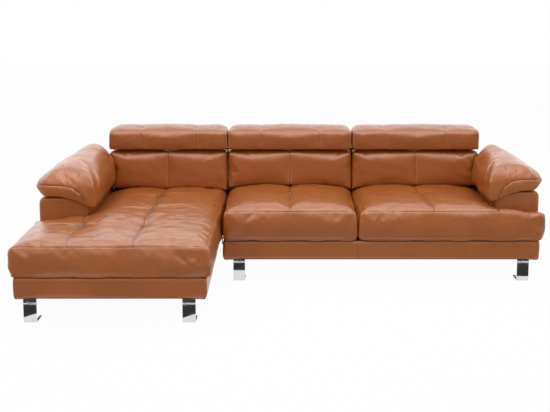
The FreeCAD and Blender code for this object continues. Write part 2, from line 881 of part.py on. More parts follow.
def make_all():
    support = ((join_x + right_x) / 2, back_y - support_back_distance)
    chaise_crosses = (sofa_front_y, (sofa_front_y + front_y) / 2, (sofa_front_y + back_y) / 2)
    sofa_crosses = (mid_x, (join_x + mid_x) / 2, (mid_x + right_x) / 2)
    dividers = {
        "chaise": [("y", place) for place in chaise_crosses],
        "sofa": [("x", place) for place in sofa_crosses],
    }
    screws = []
    for module in ("chaise", "sofa"):
        make_base_covers(module)
        make_base_frame(module, dividers[module], support if module == "sofa" else None)
        make_dust_cover(module)
        for corner, spot in leg_places(module).items():
            make_leg(module, corner, spot)
            screws.extend(make_screw(x, y) for x, y in screw_places(spot))
    keep("leg_screws", *screws)
    make_support_foot(*support)
    make_seat_suspension()
    seats = make_seat_cushions()
    make_back_cushions(seats)
    make_arm_pillow("left", seats["chaise"])
    make_arm_pillow("right", seats["right"])
    make_tuft_ties(seats)
    for name, shape in seats.items():
        keep(name + "_seat_cushion", shape)
    make_arm("left")
    make_arm("right")
    for name, bay in back_bays().items():
        make_headrest(name, bay)
    make_backs()
    make_connectors()


def save_all():
    os.makedirs("parts", exist_ok=True)
    for name, solids in nodes.items():
        shape = solids[0] if len(solids) == 1 else Part.makeCompound(solids)
        shape.exportStep("parts/" + name + ".step")
        print(name, len(shape.Solids), "solids", round(shape.Volume / 1e6, 2), "litres", shape.isValid())


make_all()
save_all()
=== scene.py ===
import json
import math

import bmesh
import bpy
import numpy as np
from mathutils import Matrix, Vector


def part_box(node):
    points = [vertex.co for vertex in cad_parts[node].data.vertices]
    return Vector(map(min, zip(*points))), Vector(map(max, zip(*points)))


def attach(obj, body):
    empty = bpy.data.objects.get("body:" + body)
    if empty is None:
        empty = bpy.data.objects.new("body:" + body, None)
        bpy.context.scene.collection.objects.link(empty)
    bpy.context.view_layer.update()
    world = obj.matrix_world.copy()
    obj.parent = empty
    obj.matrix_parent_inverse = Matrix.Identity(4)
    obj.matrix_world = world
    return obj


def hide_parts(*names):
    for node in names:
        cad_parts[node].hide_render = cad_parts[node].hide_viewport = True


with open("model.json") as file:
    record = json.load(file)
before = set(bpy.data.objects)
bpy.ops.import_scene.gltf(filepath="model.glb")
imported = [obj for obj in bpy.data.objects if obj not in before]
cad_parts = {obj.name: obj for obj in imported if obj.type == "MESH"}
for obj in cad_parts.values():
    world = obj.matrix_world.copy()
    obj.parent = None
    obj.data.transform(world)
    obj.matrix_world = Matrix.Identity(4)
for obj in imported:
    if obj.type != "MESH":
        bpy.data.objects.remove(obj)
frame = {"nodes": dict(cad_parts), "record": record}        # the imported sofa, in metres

scene = bpy.context.scene
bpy.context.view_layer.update()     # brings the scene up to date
print("sofa: frame loaded")


# Camera: the photograph's, fitted to the sofa's edges

cameraFit = {
    "place": (-0.052, -6.113, 1.684),
    "tiltDown": 0.154175,            # radians below the horizon
    "focalPixels": 1121.9,
    "axisPixel": (283.265, 151.0),   # where the optical axis meets the picture
    "pictureSize": (550, 412),
    "sensorWidth": 36.0,
}


def makeCamera(fit):
    wide, high = fit["pictureSize"]
    data = bpy.data.cameras.new("photoCamera")
    data.sensor_width = fit["sensorWidth"]
    data.lens = fit["sensorWidth"] * fit["focalPixels"] / wide
    data.shift_x = (wide / 2 - fit["axisPixel"][0]) / wide
    data.shift_y = (fit["axisPixel"][1] - high / 2) / wide
    camera = bpy.data.objects.new("photoCamera", data)
    camera.location = fit["place"]
    camera.rotation_euler = (math.pi / 2 - fit["tiltDown"], 0, 0)
    scene.collection.objects.link(camera)
    scene.camera = camera


makeCamera(cameraFit)


# Shader maths: a wire is a socket that Python's operators work on

class Wire:
    def __init__(self, board, socket):
        self.board = board
        self.socket = socket

    def __add__(self, other):
        return self.board.maths("ADD", self, other)

    __radd__ = __add__

    def __sub__(self, other):
        return self.board.maths("SUBTRACT", self, other)

    def __rsub__(self, other):
        return self.board.maths("SUBTRACT", other, self)

    def __mul__(self, other):
        return self.board.maths("MULTIPLY", self, other)

    __rmul__ = __mul__


class Board:
    # a node tree and the one way nodes get into it
    def __init__(self, tree):
        self.tree = tree
        tree.nodes.clear()

    def node(self, kind, settings=None, sockets=None, out=0):
        made = self.tree.nodes.new("ShaderNode" + kind)
        for name, value in (settings or {}).items():
            setattr(made, name, value)
        for name, value in (sockets or {}).items():
            if isinstance(value, Wire):
                self.tree.links.new(value.socket, made.inputs[name])
            else:
                made.inputs[name].default_value = value
        return Wire(self, made.outputs[out]) if len(made.outputs) else made

    def maths(self, operation, first, second, clamp=False):
        settings = {"operation": operation, "use_clamp": clamp}
        return self.node("Math", settings, {0: first, 1: second})

    def mixColour(self, share, first, second, blend="MIX"):
        settings = {"data_type": "RGBA", "blend_type": blend}
        return self.node("Mix", settings, {0: share, 6: first, 7: second}, out=2)

    def range(self, value, low, high, newLow, newHigh):
        sockets = {0: value, 1: low, 2: high, 3: newLow, 4: newHigh}
        return self.node("MapRange", {"interpolation_type": "SMOOTHSTEP"}, sockets)


def newBoard(name):
    material = bpy.data.materials.new(name)
    material.use_nodes = True
    return material, Board(material.node_tree)


def toned(colour, factor):
    return tuple(min(1.0, part * factor) for part in colour[:3]) + (1.0,)


# Studio: a white room, soft lamps overhead, in front and at the side, and dark floor patches to mirror

studio = {
    "roomLight": 0.44,
    "roomMirror": 1.4,
    "floorColour": (0.86, 0.86, 0.86, 1),
    "floorPicture": 0.97,      # share of the floor's picture that is plain white
    "cameraSideMirror": 0.05,
    "lamps": {
        "overhead": {"place": (0.0, -0.5, 3.1), "aim": (0, 0.1, 0.4), "size": (4.6, 2.4), "watts": 74},
        "front": {"place": (-1.6, -5.2, 2.9), "aim": (0, 0, 0.4), "size": (3.4, 2.2), "watts": 52},
        "side": {"place": (4.2, -2.4, 2.4), "aim": (0.2, 0, 0.4), "size": (2.2, 2.2), "watts": 10},
    },
    "unmirrored": ("front", "side"),
    # corners of the dark patches on the floor, seen only by what mirrors
    "darkCards": {
        "chaiseNear": (
            (-3.2, -0.80), (-1.41, -0.81), (-1.25, -1.03), (-0.60, -0.83), (-0.43, -1.03), (-0.43, -1.121),
            (-3.2, -1.121),
        ),
        "chaiseFar": ((-3.2, -1.142), (-0.40, -1.142), (-0.40, -4.6), (-3.2, -4.6)),
        "sofaNear": (
            (-0.39, -0.266), (0.2, -0.24), (1.2, -0.132), (3.2, -0.132), (3.2, -0.442), (-0.39, -0.442),
        ),
        "sofaFar": ((-0.39, -0.471), (3.2, -0.471), (3.2, -4.6), (-0.39, -4.6)),
    },
}


def makeRoom(values):
    world = bpy.data.worlds.new("studioRoom")
    world.use_nodes = True
    scene.world = world
    board = Board(world.node_tree)
    seen = board.node("LightPath", out="Is Camera Ray")
    mirrored = board.node("LightPath", out="Is Glossy Ray")
    through = board.node("LightPath", out="Is Transmission Ray")
    direction = board.node("TexCoord", out="Generated")
    parts = board.node("SeparateXYZ", sockets={0: direction})
    depth = Wire(board, parts.socket.node.outputs["Y"])
    height = Wire(board, parts.socket.node.outputs["Z"])
    cameraSide = board.range(depth, -0.75, -0.15, values["cameraSideMirror"], values["roomMirror"])
    overhead = board.range(height, 0.25, 0.6, 0.0, 1.0)
    mirror = board.maths("MAXIMUM", cameraSide, overhead * values["roomMirror"])
    plain = board.range(height, -0.3, 0.8, 0.75 * values["roomLight"], 1.15 * values["roomLight"])
    white = board.maths("MAXIMUM", seen, through)
    level = mirrored * mirror + (1 - mirrored) * plain
    strength = white + (1 - white) * level
    background = board.node("Background", sockets={"Color": (1, 1, 1, 1), "Strength": strength})
    board.node("OutputWorld", sockets={"Surface": background})


def makeFloor(values):
    bm = bmesh.new()
    bmesh.ops.create_grid(bm, x_segments=1, y_segments=1, size=14, matrix=Matrix.Translation((0, 2, -0.0005)))
    mesh = bpy.data.meshes.new("studioFloor")
    bm.to_mesh(mesh)
    bm.free()
    floor = bpy.data.objects.new("studioFloor", mesh)
    scene.collection.objects.link(floor)
    material, board = newBoard("studioFloor")
    seen = board.node("LightPath", out="Is Camera Ray")
    mirrored = board.node("LightPath", out="Is Glossy Ray")
    through = board.node("LightPath", out="Is Transmission Ray")
    lit = board.node("BsdfDiffuse", sockets={"Color": values["floorColour"]})
    plain = board.node("Emission", sockets={"Color": (1, 1, 1, 1), "Strength": 1.0})
    straight = board.maths("ADD", seen, through, clamp=True)
    share = board.maths("ADD", straight * values["floorPicture"], mirrored * 0.8, clamp=True)
    surface = board.node("MixShader", sockets={0: share, 1: lit, 2: plain})
    board.node("OutputMaterial", sockets={"Surface": surface})
    mesh.materials.append(material)


def makeLamps(values, unmirrored):
    for name, lamp in values.items():
        data = bpy.data.lights.new(name + "Lamp", "AREA")
        data.shape = "RECTANGLE"
        data.size, data.size_y = lamp["size"]
        data.energy = lamp["watts"]
        holder = bpy.data.objects.new(name + "Lamp", data)
        holder.location = lamp["place"]
        holder.visible_glossy = name not in unmirrored
        ahead = Vector(lamp["aim"]) - Vector(lamp["place"])
        holder.rotation_euler = ahead.to_track_quat("-Z", "Y").to_euler()
        scene.collection.objects.link(holder)


def makeCards(values):
    material, board = newBoard("darkCard")
    dark = board.node("BsdfDiffuse", sockets={"Color": (0.045, 0.044, 0.042, 1)})
    board.node("OutputMaterial", sockets={"Surface": dark})
    for name, corners in values.items():
        bm = bmesh.new()
        bm.faces.new([bm.verts.new((x, y, 0.0008)) for x, y in reversed(corners)])
        mesh = bpy.data.meshes.new(name)
        bm.to_mesh(mesh)
        bm.free()
        mesh.materials.append(material)
        card = bpy.data.objects.new(name, mesh)
        card.visible_camera = False
        card.visible_diffuse = False
        card.visible_shadow = False
        card.visible_transmission = False
        scene.collection.objects.link(card)


makeRoom(studio)
makeFloor(studio)
makeLamps(studio["lamps"], studio["unmirrored"])
makeCards(studio["darkCards"])
scene.view_settings.view_transform = "Standard"
print("sofa: camera and studio ready")


# Finishes

leatherLook = {
    "colour": (0.365, 0.104, 0.0215, 1),
    "roughness": 0.34,
    "coat": 0.45,
    "coatRoughness": 0.28,
    "pebbleScale": 430.0,      # pebbles to the metre
    "pebbleDepth": 0.00003,
    "creaseScale": 30.0,
    "creaseDepth": 0.00015,
    "mottleScale": 5.0,
    "seamShade": 0.80,
}


def makeLeather(name, look, tone=1.0, turn=0.0):
    material, board = newBoard(name)
    place = board.node("TexCoord", out="Object")
    turned = board.node(
        "Mapping", sockets={"Vector": place, "Location": (turn, 2 * turn, 0), "Rotation": (0, 0, turn)}
    )
    mottle = board.node(
        "TexNoise", sockets={"Vector": turned, "Scale": look["mottleScale"], "Detail": 4.0}, out="Fac"
    )
    blotch = board.node("TexNoise", sockets={"Vector": turned, "Scale": 55.0, "Detail": 3.0}, out="Fac")
    pebble = board.node(
        "TexVoronoi", {"feature": "SMOOTH_F1"},
        {"Vector": turned, "Scale": look["pebbleScale"], "Smoothness": 0.45}, out="Distance",
    )
    fine = board.node("TexNoise", sockets={"Vector": turned, "Scale": 1400.0, "Detail": 2.0}, out="Fac")
    crease = board.node(
        "TexNoise",
        sockets={"Vector": turned, "Scale": look["creaseScale"], "Detail": 2.0, "Distortion": 0.6},
        out="Fac",
    )
    seam = board.node("Attribute", {"attribute_name": "seam"}, out="Fac")
    colour = toned(look["colour"], tone)
    deep = toned(colour, 0.94)
    pale = toned(colour, 1.06)
    shade = board.range(mottle, 0.32, 0.70, 0.0, 1.0)
    body = board.mixColour(shade, deep, pale)
    body = board.mixColour(board.range(blotch, 0.35, 0.75, 0.0, 0.16), body, toned(colour, 0.90))
    pores = board.range(pebble, 0.35, 0.75, 0.0, 0.06)
    body = board.mixColour(pores, body, toned(colour, 0.62))
    # the seam attribute darkens seam lines and, in the tuft hollows, paints shade into the colour
    dark = board.maths("MULTIPLY", seam, look["seamShade"], clamp=True)
    # where the seam attribute is negative the stitch rows are lightened: partly the thread's colour, partly a
    # painted highlight
    threadTintAndHighlight = board.maths("MULTIPLY", seam, -1.0, clamp=True)
    body = board.mixColour(dark, body, (0.045, 0.011, 0.004, 1))
    body = board.mixColour(threadTintAndHighlight, body, (0.62, 0.26, 0.10, 1))
    rough = board.range(crease, 0.3, 0.7, look["roughness"] - 0.05, look["roughness"] + 0.05) + dark * 0.3
    folds = board.node(
        "Bump", sockets={"Strength": 0.4, "Distance": look["creaseDepth"], "Height": crease}, out="Normal"
    )
    height = 1 - pebble + fine * 0.1
    grain = board.node(
        "Bump", sockets={"Strength": 0.3, "Distance": look["pebbleDepth"], "Height": height, "Normal": folds},
        out="Normal",
    )
    skin = board.node(
        "BsdfPrincipled",
        sockets={
            "Base Color": body, "Roughness": rough, "Normal": grain, "IOR": 1.5,
            "Coat Weight": look["coat"], "Coat Roughness": look["coatRoughness"],
        },
    )
    board.node("OutputMaterial", sockets={"Surface": skin})
    return material


def makePlain(name, colour, roughness, metallic=0.0, scale=60.0, spread=0.1, bump=0.0001):
    # one procedural finish for the parts that aren't leather: uneven colour, roughness and surface
    material, board = newBoard(name)
    place = board.node("TexCoord", out="Object")
    cloud = board.node("TexNoise", sockets={"Vector": place, "Scale": scale, "Detail": 5.0}, out="Fac")
    speck = board.node("TexNoise", sockets={"Vector": place, "Scale": scale * 14, "Detail": 2.0}, out="Fac")
    body = board.mixColour(cloud, toned(colour, 1 - spread), toned(colour, 1 + spread))
    rough = board.range(speck, 0.3, 0.7, roughness * 0.8, min(1.0, roughness * 1.2))
    relief = board.node(
        "Bump", sockets={"Strength": 0.5, "Distance": bump, "Height": cloud + speck}, out="Normal"
    )
    surface = board.node(
        "BsdfPrincipled",
        sockets={"Base Color": body, "Roughness": rough, "Metallic": metallic, "Normal": relief},
    )
    board.node("OutputMaterial", sockets={"Surface": surface})
    return material


def makeTimber(name, pale, dark):
    # ply and rails: long grain with rings
    material, board = newBoard(name)
    place = board.node("TexCoord", out="Object")
    drawn = board.node("Mapping", sockets={"Vector": place, "Scale": (1.2, 9.0, 9.0)})
    grain = board.node(
        "TexWave", {"wave_type": "BANDS", "bands_direction": "Z"},
        {"Vector": drawn, "Scale": 2.2, "Distortion": 7.0, "Detail": 4.0}, out="Fac",
    )
    fibre = board.node("TexNoise", sockets={"Vector": drawn, "Scale": 26.0, "Detail": 6.0}, out="Fac")
    body = board.mixColour(grain * 0.6 + fibre * 0.4, pale, dark)
    relief = board.node("Bump", sockets={"Strength": 0.4, "Distance": 0.0004, "Height": fibre}, out="Normal")
    surface = board.node(
        "BsdfPrincipled",
        sockets={"Base Color": body, "Roughness": board.range(fibre, 0, 1, 0.55, 0.75), "Normal": relief},
    )
    board.node("OutputMaterial", sockets={"Surface": surface})
    return material


def makeWoven(name, colour):
    # the dust cover's thin cloth: two sets of threads
    material, board = newBoard(name)
    place = board.node("TexCoord", out="Object")
    across = board.node("TexWave", {"bands_direction": "X"}, {"Vector": place, "Scale": 160.0}, out="Fac")
    along = board.node("TexWave", {"bands_direction": "Y"}, {"Vector": place, "Scale": 160.0}, out="Fac")
    cloud = board.node("TexNoise", sockets={"Vector": place, "Scale": 12.0, "Detail": 4.0}, out="Fac")
    weave = across * along
    body = board.mixColour(weave * 0.7 + cloud * 0.3, toned(colour, 0.6), toned(colour, 1.5))
    relief = board.node("Bump", sockets={"Strength": 0.5, "Distance": 0.0004, "Height": weave}, out="Normal")
    surface = board.node("BsdfPrincipled", sockets={"Base Color": body, "Roughness": 0.9, "Normal": relief})
    board.node("OutputMaterial", sockets={"Surface": surface})
    return material


def makeChrome(name):
    material, board = newBoard(name)
    place = board.node("TexCoord", out="Object")
    cloud = board.node("TexNoise", sockets={"Vector": place, "Scale": 35.0, "Detail": 3.0}, out="Fac")
    drawn = board.node("Mapping", sockets={"Vector": place, "Scale": (40.0, 900.0, 900.0)})
    polish = board.node("TexNoise", sockets={"Vector": drawn, "Scale": 1.0, "Detail": 2.0}, out="Fac")
    body = board.mixColour(cloud, (0.70, 0.71, 0.73, 1), (0.82, 0.83, 0.85, 1))
    rough = board.range(cloud, 0.35, 0.7, 0.035, 0.09)
    relief = board.node(
        "Bump", sockets={"Strength": 0.12, "Distance": 0.00005, "Height": polish}, out="Normal"
    )
    surface = board.node(
        "BsdfPrincipled", sockets={"Base Color": body, "Roughness": rough, "Metallic": 1.0, "Normal": relief}
    )
    board.node("OutputMaterial", sockets={"Surface": surface})
    return material


seatLeather = makeLeather("seatLeather", leatherLook, 1.0, 0.0)
backLeather = makeLeather("backLeather", leatherLook, 0.98, 0.7)
# the headrests' leather is a darker copy (tone 0.90): painted shade, as they sit nearer the lamps
restLeather = makeLeather("restLeather", leatherLook, 0.90, 1.3)
armLeather = makeLeather("armLeather", leatherLook, 1.04, 2.1)
baseLeather = makeLeather("baseLeather", leatherLook, 1.02, 2.9)
thread = makePlain("tanThread", (0.40, 0.150, 0.055, 1), 0.7, scale=300.0, spread=0.2)
nodeFinishes = {
    "chrome": makeChrome("polishedChrome"),
    "timber": makeTimber("pineAndPly", (0.62, 0.42, 0.23, 1), (0.36, 0.21, 0.10, 1)),
    # near-black timber for the base frames: painted shade, so the gap under the seats reads as a shadow line
    "shadeDarkFrame": makeTimber("shadeDarkRail", (0.085, 0.045, 0.024, 1), (0.045, 0.024, 0.013, 1)),
    "spring_steel": makePlain("springSteel", (0.30, 0.29, 0.28, 1), 0.35, 1.0, 90.0, 0.15),
    "zinc_steel": makePlain("zincSteel", (0.52, 0.53, 0.55, 1), 0.32, 1.0, 120.0, 0.12),
    "black_plastic": makePlain("blackPlastic", (0.02, 0.02, 0.022, 1), 0.45, 0.0, 200.0, 0.2),
    "dust_cloth": makeWoven("dustCloth", (0.02, 0.02, 0.022, 1)),
    "twine": makePlain("waxedTwine", (0.55, 0.44, 0.30, 1), 0.8, 0.0, 400.0, 0.25),
    "leather": seatLeather,
}


def dressNodes():
    # every imported node gets the finish of its slot in the record, except the base frames, which get a
    # near-black timber as painted shade in the gap below the seats
    for item in frame["record"]["subparts"]:
        mesh = frame["nodes"][item["node"]].data
        mesh.materials.clear()
        shadeDarkFrame = "base_frame" in item["node"]
        mesh.materials.append(nodeFinishes["shadeDarkFrame" if shadeDarkFrame else item["material_slot"]])


dressNodes()
print("sofa: finishes ready")


# Tools for soft pieces

def readPoints(mesh):
    flat = np.empty(len(mesh.vertices) * 3)
    mesh.vertices.foreach_get("co", flat)
    return flat.reshape(-1, 3)


def readNormals(mesh):
    flat = np.empty(len(mesh.vertices) * 3)
    mesh.vertex_normals.foreach_get("vector", flat)
    return flat.reshape(-1, 3)


def writePoints(mesh, points):
    mesh.vertices.foreach_set("co", points.astype(np.float32).ravel())
    mesh.update()


def ease(value):
    value = np.clip(value, 0, 1)
    return value * value * (3 - 2 * value)


def waves(points, size, seed, stretch=(1, 1, 1)):
    # smooth, repeatable unevenness, mostly between -1 and 1
    chance = np.random.default_rng(seed)
    total = np.zeros(len(points))
    for step in range(7):
        way = chance.normal(size=3)
        way /= np.linalg.norm(way)
        pace = 2 * math.pi / size * chance.uniform(0.6, 1.5)
        total += np.sin((points * stretch) @ way * pace + chance.uniform(0, 2 * math.pi))
    return total / 3.2


def newPiece(name, bm, material, body="sofa", stands=()):
    mesh = bpy.data.meshes.new(name)
    bm.to_mesh(mesh)
    bm.free()
    piece = bpy.data.objects.new(name, mesh)
    scene.collection.objects.link(piece)
    mesh.materials.append(material)
    mesh.shade_smooth()
    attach(piece, body)
    if stands:
        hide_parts(*stands)
    return piece


def takeResult(piece):
    # the mesh as the modifiers leave it, and the modifiers gone
    graph = bpy.context.evaluated_depsgraph_get()
    mesh = bpy.data.meshes.new_from_object(piece.evaluated_get(graph))
    piece.modifiers.clear()
    piece.data = mesh
    mesh.shade_smooth()


def blockFrom(corners, plane, start, end):
    # a flat outline of (across, up, rounding) corners, drawn out into a block
    bm = bmesh.new()
    lay = {
        "XY": lambda a, b: (a, b, start),
        "YZ": lambda a, b: (start, a, b),
        "XZ": lambda a, b: (a, start, b),
    }
    along = {"XY": (0, 0, end - start), "YZ": (end - start, 0, 0), "XZ": (0, end - start, 0)}
    verts = [bm.verts.new(lay[plane](across, up)) for across, up, rounding in corners]
    bm.faces.new(verts)
    for vert, (across, up, rounding) in zip(verts, corners):
        if rounding:
            bmesh.ops.bevel(
                bm, geom=[vert], offset=rounding, offset_type="OFFSET", segments=6, profile=0.5,
                affect="VERTICES", material=-1,
            )
    drawn = bmesh.ops.extrude_face_region(bm, geom=bm.faces[:])
    moved = [item for item in drawn["geom"] if isinstance(item, bmesh.types.BMVert)]
    bmesh.ops.translate(bm, verts=moved, vec=along[plane])
    bmesh.ops.recalc_face_normals(bm, faces=bm.faces)
    return bm


def copyNode(name):
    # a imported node's triangles, merged into one closed skin
    bm = bmesh.new()
    bm.from_mesh(frame["nodes"][name].data)
    bmesh.ops.remove_doubles(bm, verts=bm.verts, dist=0.00002)
    return bm


def remeshed(piece, voxel, rounds):
    # an even skin over the block, its outer shell only, with the steps rubbed out
    change = piece.modifiers.new("Skin", "REMESH")
    change.mode = "VOXEL"
    change.voxel_size = voxel
    takeResult(piece)
    bm = bmesh.new()
    bm.from_mesh(piece.data)
    left = set(bm.verts)
    shells = []
    while left:
        edge = [left.pop()]
        shell = list(edge)
        while edge:
            near = {link.other_vert(vert) for vert in edge for link in vert.link_edges} & left
            left -= near
            edge = list(near)
            shell.extend(edge)
        shells.append(shell)
    biggest = max(shells, key=len)
    inner = [vert for shell in shells if shell is not biggest for vert in shell]
    bmesh.ops.delete(bm, geom=inner, context="VERTS")
    for step in range(rounds):
        bmesh.ops.smooth_vert(
            bm, verts=bm.verts, factor=0.5, use_axis_x=True, use_axis_y=True, use_axis_z=True
        )
    bm.to_mesh(piece.data)
    bm.free()
    piece.data.shade_smooth()


def holdPoints(piece, weights):
    group = piece.vertex_groups.new(name="held")
    for level in (0.25, 0.5, 0.75, 1.0):
        chosen = np.nonzero((weights > level - 0.125) & (weights <= level + 0.125))[0]
        group.add(chosen.tolist(), level, "REPLACE")


puffing = {
    "frames": 20,
    "pressure": 4.0,
    "mass": 0.3,
    "stretch": 22.0,
    "bend": 1.2,
    "quality": 5,
}


def puff(pads):
    # each pad is filled with air for a moment, and no point moves further than the pad's own limit
    for pad in pads:
        cloth = pad["piece"].modifiers.new("Filling", "CLOTH")
        cloth.point_cache.frame_start = 1
        cloth.point_cache.frame_end = puffing["frames"]
        values = cloth.settings
        values.quality = puffing["quality"]
        values.mass = puffing["mass"]
        values.tension_stiffness = puffing["stretch"]
        values.compression_stiffness = puffing["stretch"]
        values.shear_stiffness = puffing["stretch"] / 2
        values.bending_stiffness = puffing["bend"]
        values.use_pressure = True
        values.uniform_pressure_force = puffing["pressure"] * pad.get("push", 1.0)
        values.effector_weights.gravity = 0
        values.vertex_group_mass = "held"
        cloth.collision_settings.use_collision = False
        pad["start"] = readPoints(pad["piece"].data)
    for step in range(1, puffing["frames"] + 1):
        scene.frame_set(step)
    graph = bpy.context.evaluated_depsgraph_get()
    for pad in pads:
        filled = pad["piece"].evaluated_get(graph).to_mesh()
        shift = readPoints(filled) - pad["start"]
        pad["piece"].evaluated_get(graph).to_mesh_clear()
        far = np.linalg.norm(shift, axis=1)
        limit = pad["limit"]
        share = limit * np.tanh(far / limit) / np.maximum(far, 1e-9)
        pad["moved"] = shift * share[:, None]
        print("sofa: puffed", pad["piece"].name, "mean", round(float(far.mean()) * 1000, 1), "mm, most",
              round(float(far.max()) * 1000, 1), "mm")
    for pad in pads:
        pad["piece"].modifiers.clear()
        writePoints(pad["piece"].data, pad["start"] + pad["moved"])
        pad["piece"].vertex_groups.clear()
    scene.frame_set(1)


def smoothed(piece):
    finer = piece.modifiers.new("Finer", "SUBSURF")
    finer.levels = 1
    finer.render_levels = 1
    takeResult(piece)


# Dents, folds and puckers, as moves along the normals

def fold(points, start, end, depth, width, lips=0.35):
    # a narrow valley from start to end that fades at both ends, with soft lips beside it
    start, end = np.array(start), np.array(end)
    way = end - start
    along = np.clip(((points - start) @ way) / (way @ way), 0, 1)
    gap = np.linalg.norm(points - (start + along[:, None] * way), axis=1)
    fade = np.sin(np.pi * np.clip(along, 0.04, 0.96)) ** 0.6
    valley = np.exp(-((gap / width) ** 2))
    lip = np.exp(-(((gap - 2.1 * width) / (0.9 * width)) ** 2))
    return fade * depth * (lips * lip - valley)


def dent(points, centre, depth, width, power=1.3):
    gap = np.linalg.norm((points - np.array(centre))[:, :2], axis=1)
    return -depth * np.exp(-((gap / width) ** power))


def puckers(points, along, gap, size, depth, reach, seed):
    # short gathers across a seam: along is the way along it, gap the distance from it
    chance = np.random.default_rng(seed)
    uneven = along + 0.3 * size * np.sin(along * 2 * math.pi / (size * 3.7) + chance.uniform(0, 6))
    strength = 0.65 + 0.35 * np.sin(along * 2 * math.pi / (size * 5.3) + chance.uniform(0, 6))
    return depth * strength * np.sin(uneven * 2 * math.pi / size) * np.exp(-np.abs(gap) / reach)


# Seams: the skin is cut into fine rows along a plane, the middle row is drawn in, and stitches follow
# the outer rows

seamRows = {
    "rows": (-0.0075, -0.0024, 0.0, 0.0024, 0.0075),
    "groove": 0.0030,
    "line": 0.0022,
    "hollow": 0.011,
    "hollowShare": 0.45,
    "reach": 0.028,
    "threadTintAndHighlight": 0.45,              # how pale the outer stitch rows are painted: partly the pale thread's colour, partly a painted highlight on the raised seam shoulders
}


def chainsOf(items):
    # edges from one cut, in order, as lists of verts
    edges = [item for item in items if isinstance(item, bmesh.types.BMEdge)]
    links = {}
    for edge in edges:
        for vert in edge.verts:
            links.setdefault(vert, []).append(edge)
    chains = []
    unused = set(edges)
    starts = sorted(links, key=lambda vert: (len(links[vert]), vert.index))
    for start in starts:
        chain = [start]
        ahead = [edge for edge in links[start] if edge in unused]
        while ahead:
            unused.discard(ahead[0])
            chain.append(ahead[0].other_vert(chain[-1]))
            ahead = [edge for edge in links[chain[-1]] if edge in unused]
        if len(chain) > 6:
            chains.append(chain)
    return chains


def sewSeam(bm, seam, layer):
    way = Vector(seam["way"])
    side = np.array(seam["way"])
    path = seam.get("path")
    across = int(np.argmax(side))
    along = seam.get("along", 1)

    def bend(place):
        return np.interp(place, path[0], path[1]) - seam["at"] if path else 0.0

    bm.verts.ensure_lookup_table()
    bm.verts.index_update()
    bm.faces.index_update()
    points = np.array([vert.co[:] for vert in bm.verts])
    gap = points @ side - seam["at"] - bend(points[:, along])
    near = np.nonzero((np.abs(gap) < seamRows["reach"]) & seam["where"](points))[0]
    faces = sorted(
        {face for index in near for face in bm.verts[index].link_faces}, key=lambda face: face.index
    )
    edges = list(dict.fromkeys(edge for face in faces for edge in face.edges))
    verts = list(dict.fromkeys(vert for face in faces for vert in face.verts))
    for vert in verts:
        vert.co[across] -= bend(vert.co[along])
    items = verts + edges + faces
    cuts = []
    for row in seamRows["rows"]:
        spot = way * (seam["at"] + row)
        cut = bmesh.ops.bisect_plane(bm, geom=items, dist=0.00002, plane_co=spot, plane_no=way)
        items = cut["geom"]
        cuts.append(cut["geom_cut"])
    bm.verts.index_update()
    rows = [chainsOf(cut) for cut in cuts]
    touched = [item for item in items if isinstance(item, bmesh.types.BMVert)]
    bm.normal_update()
    gaps = {}
    for vert in touched:
        gaps[vert] = vert.co.dot(way) - seam["at"]
        vert.co[across] += bend(vert.co[along])
    bm.normal_update()
    depth = seam["depth"]
    double = seam.get("stitch") == "double"
    for vert in touched:
        gap = gaps[vert]
        groove = math.exp(-((gap / seamRows["groove"]) ** 2))
        line = math.exp(-((gap / seamRows["line"]) ** 2)) * seam.get("shade", 0.5)
        hollow = math.exp(-((gap / seamRows["hollow"]) ** 2)) * seamRows["hollowShare"]
        vert.co -= vert.normal * depth * (groove + hollow)
        vert[layer] = max(vert[layer], line)
        # the outer stitch row is lightened: partly the pale thread's colour, partly a painted highlight
        if double and abs(abs(gap) - seamRows["rows"][-1]) < 0.0004:
            vert[layer] = -seamRows["threadTintAndHighlight"]
    if double:
        return rows[0] + rows[-1]
    if seam.get("stitch") == "single":
        return rows[-1]
    return []


stitching = {
    "pitch": 0.0062,
    "length": 0.0044,
    "thickness": 0.0011,
    "lift": 0.0003,
}


def sew(piece, seams, material, body, shade=None):
    bm = bmesh.new()
    bm.from_mesh(piece.data)
    layer = bm.verts.layers.float.new("seam")
    if shade is not None:
        for vert, level in zip(bm.verts, shade):
            vert[layer] = level
    chains = []
    for seam in seams:
        chains.extend(sewSeam(bm, seam, layer))
    bm.normal_update()
    runs = [([vert.co.copy() for vert in chain], [vert.normal.copy() for vert in chain]) for chain in chains]
    bm.to_mesh(piece.data)
    bm.free()
    piece.data.shade_smooth()
    if runs:
        makeStitches(piece.name + "Stitches", runs, material, body)


def makeStitches(name, runs, material, body):
    bm = bmesh.new()
    for spots, ups in runs:
        spots = np.array([spot[:] for spot in spots])
        ups = np.array([up[:] for up in ups])
        steps = np.linalg.norm(np.diff(spots, axis=0), axis=1)
        travel = np.concatenate([[0], np.cumsum(steps)])
        count = int(travel[-1] / stitching["pitch"])
        for index in range(count):
            middle = (index + 0.5) * stitching["pitch"]
            ends = [middle - stitching["length"] / 2, middle + stitching["length"] / 2]
            low, high = (
                Vector([np.interp(end, travel, spots[:, axis]) for axis in range(3)]) for end in ends
            )
            up = Vector([np.interp(middle, travel, ups[:, axis]) for axis in range(3)]).normalized()
            along = (high - low).normalized()
            across = up.cross(along).normalized()
            up = along.cross(across)
            half = stitching["thickness"] / 2
            turn = Matrix((along * stitching["length"] / 2, across * half, up * half)).transposed().to_4x4()
            spot = (low + high) / 2 + up * stitching["lift"]
            bmesh.ops.create_icosphere(bm, subdivisions=1, radius=1, matrix=Matrix.Translation(spot) @ turn)
    return newPiece(name, bm, material, body)


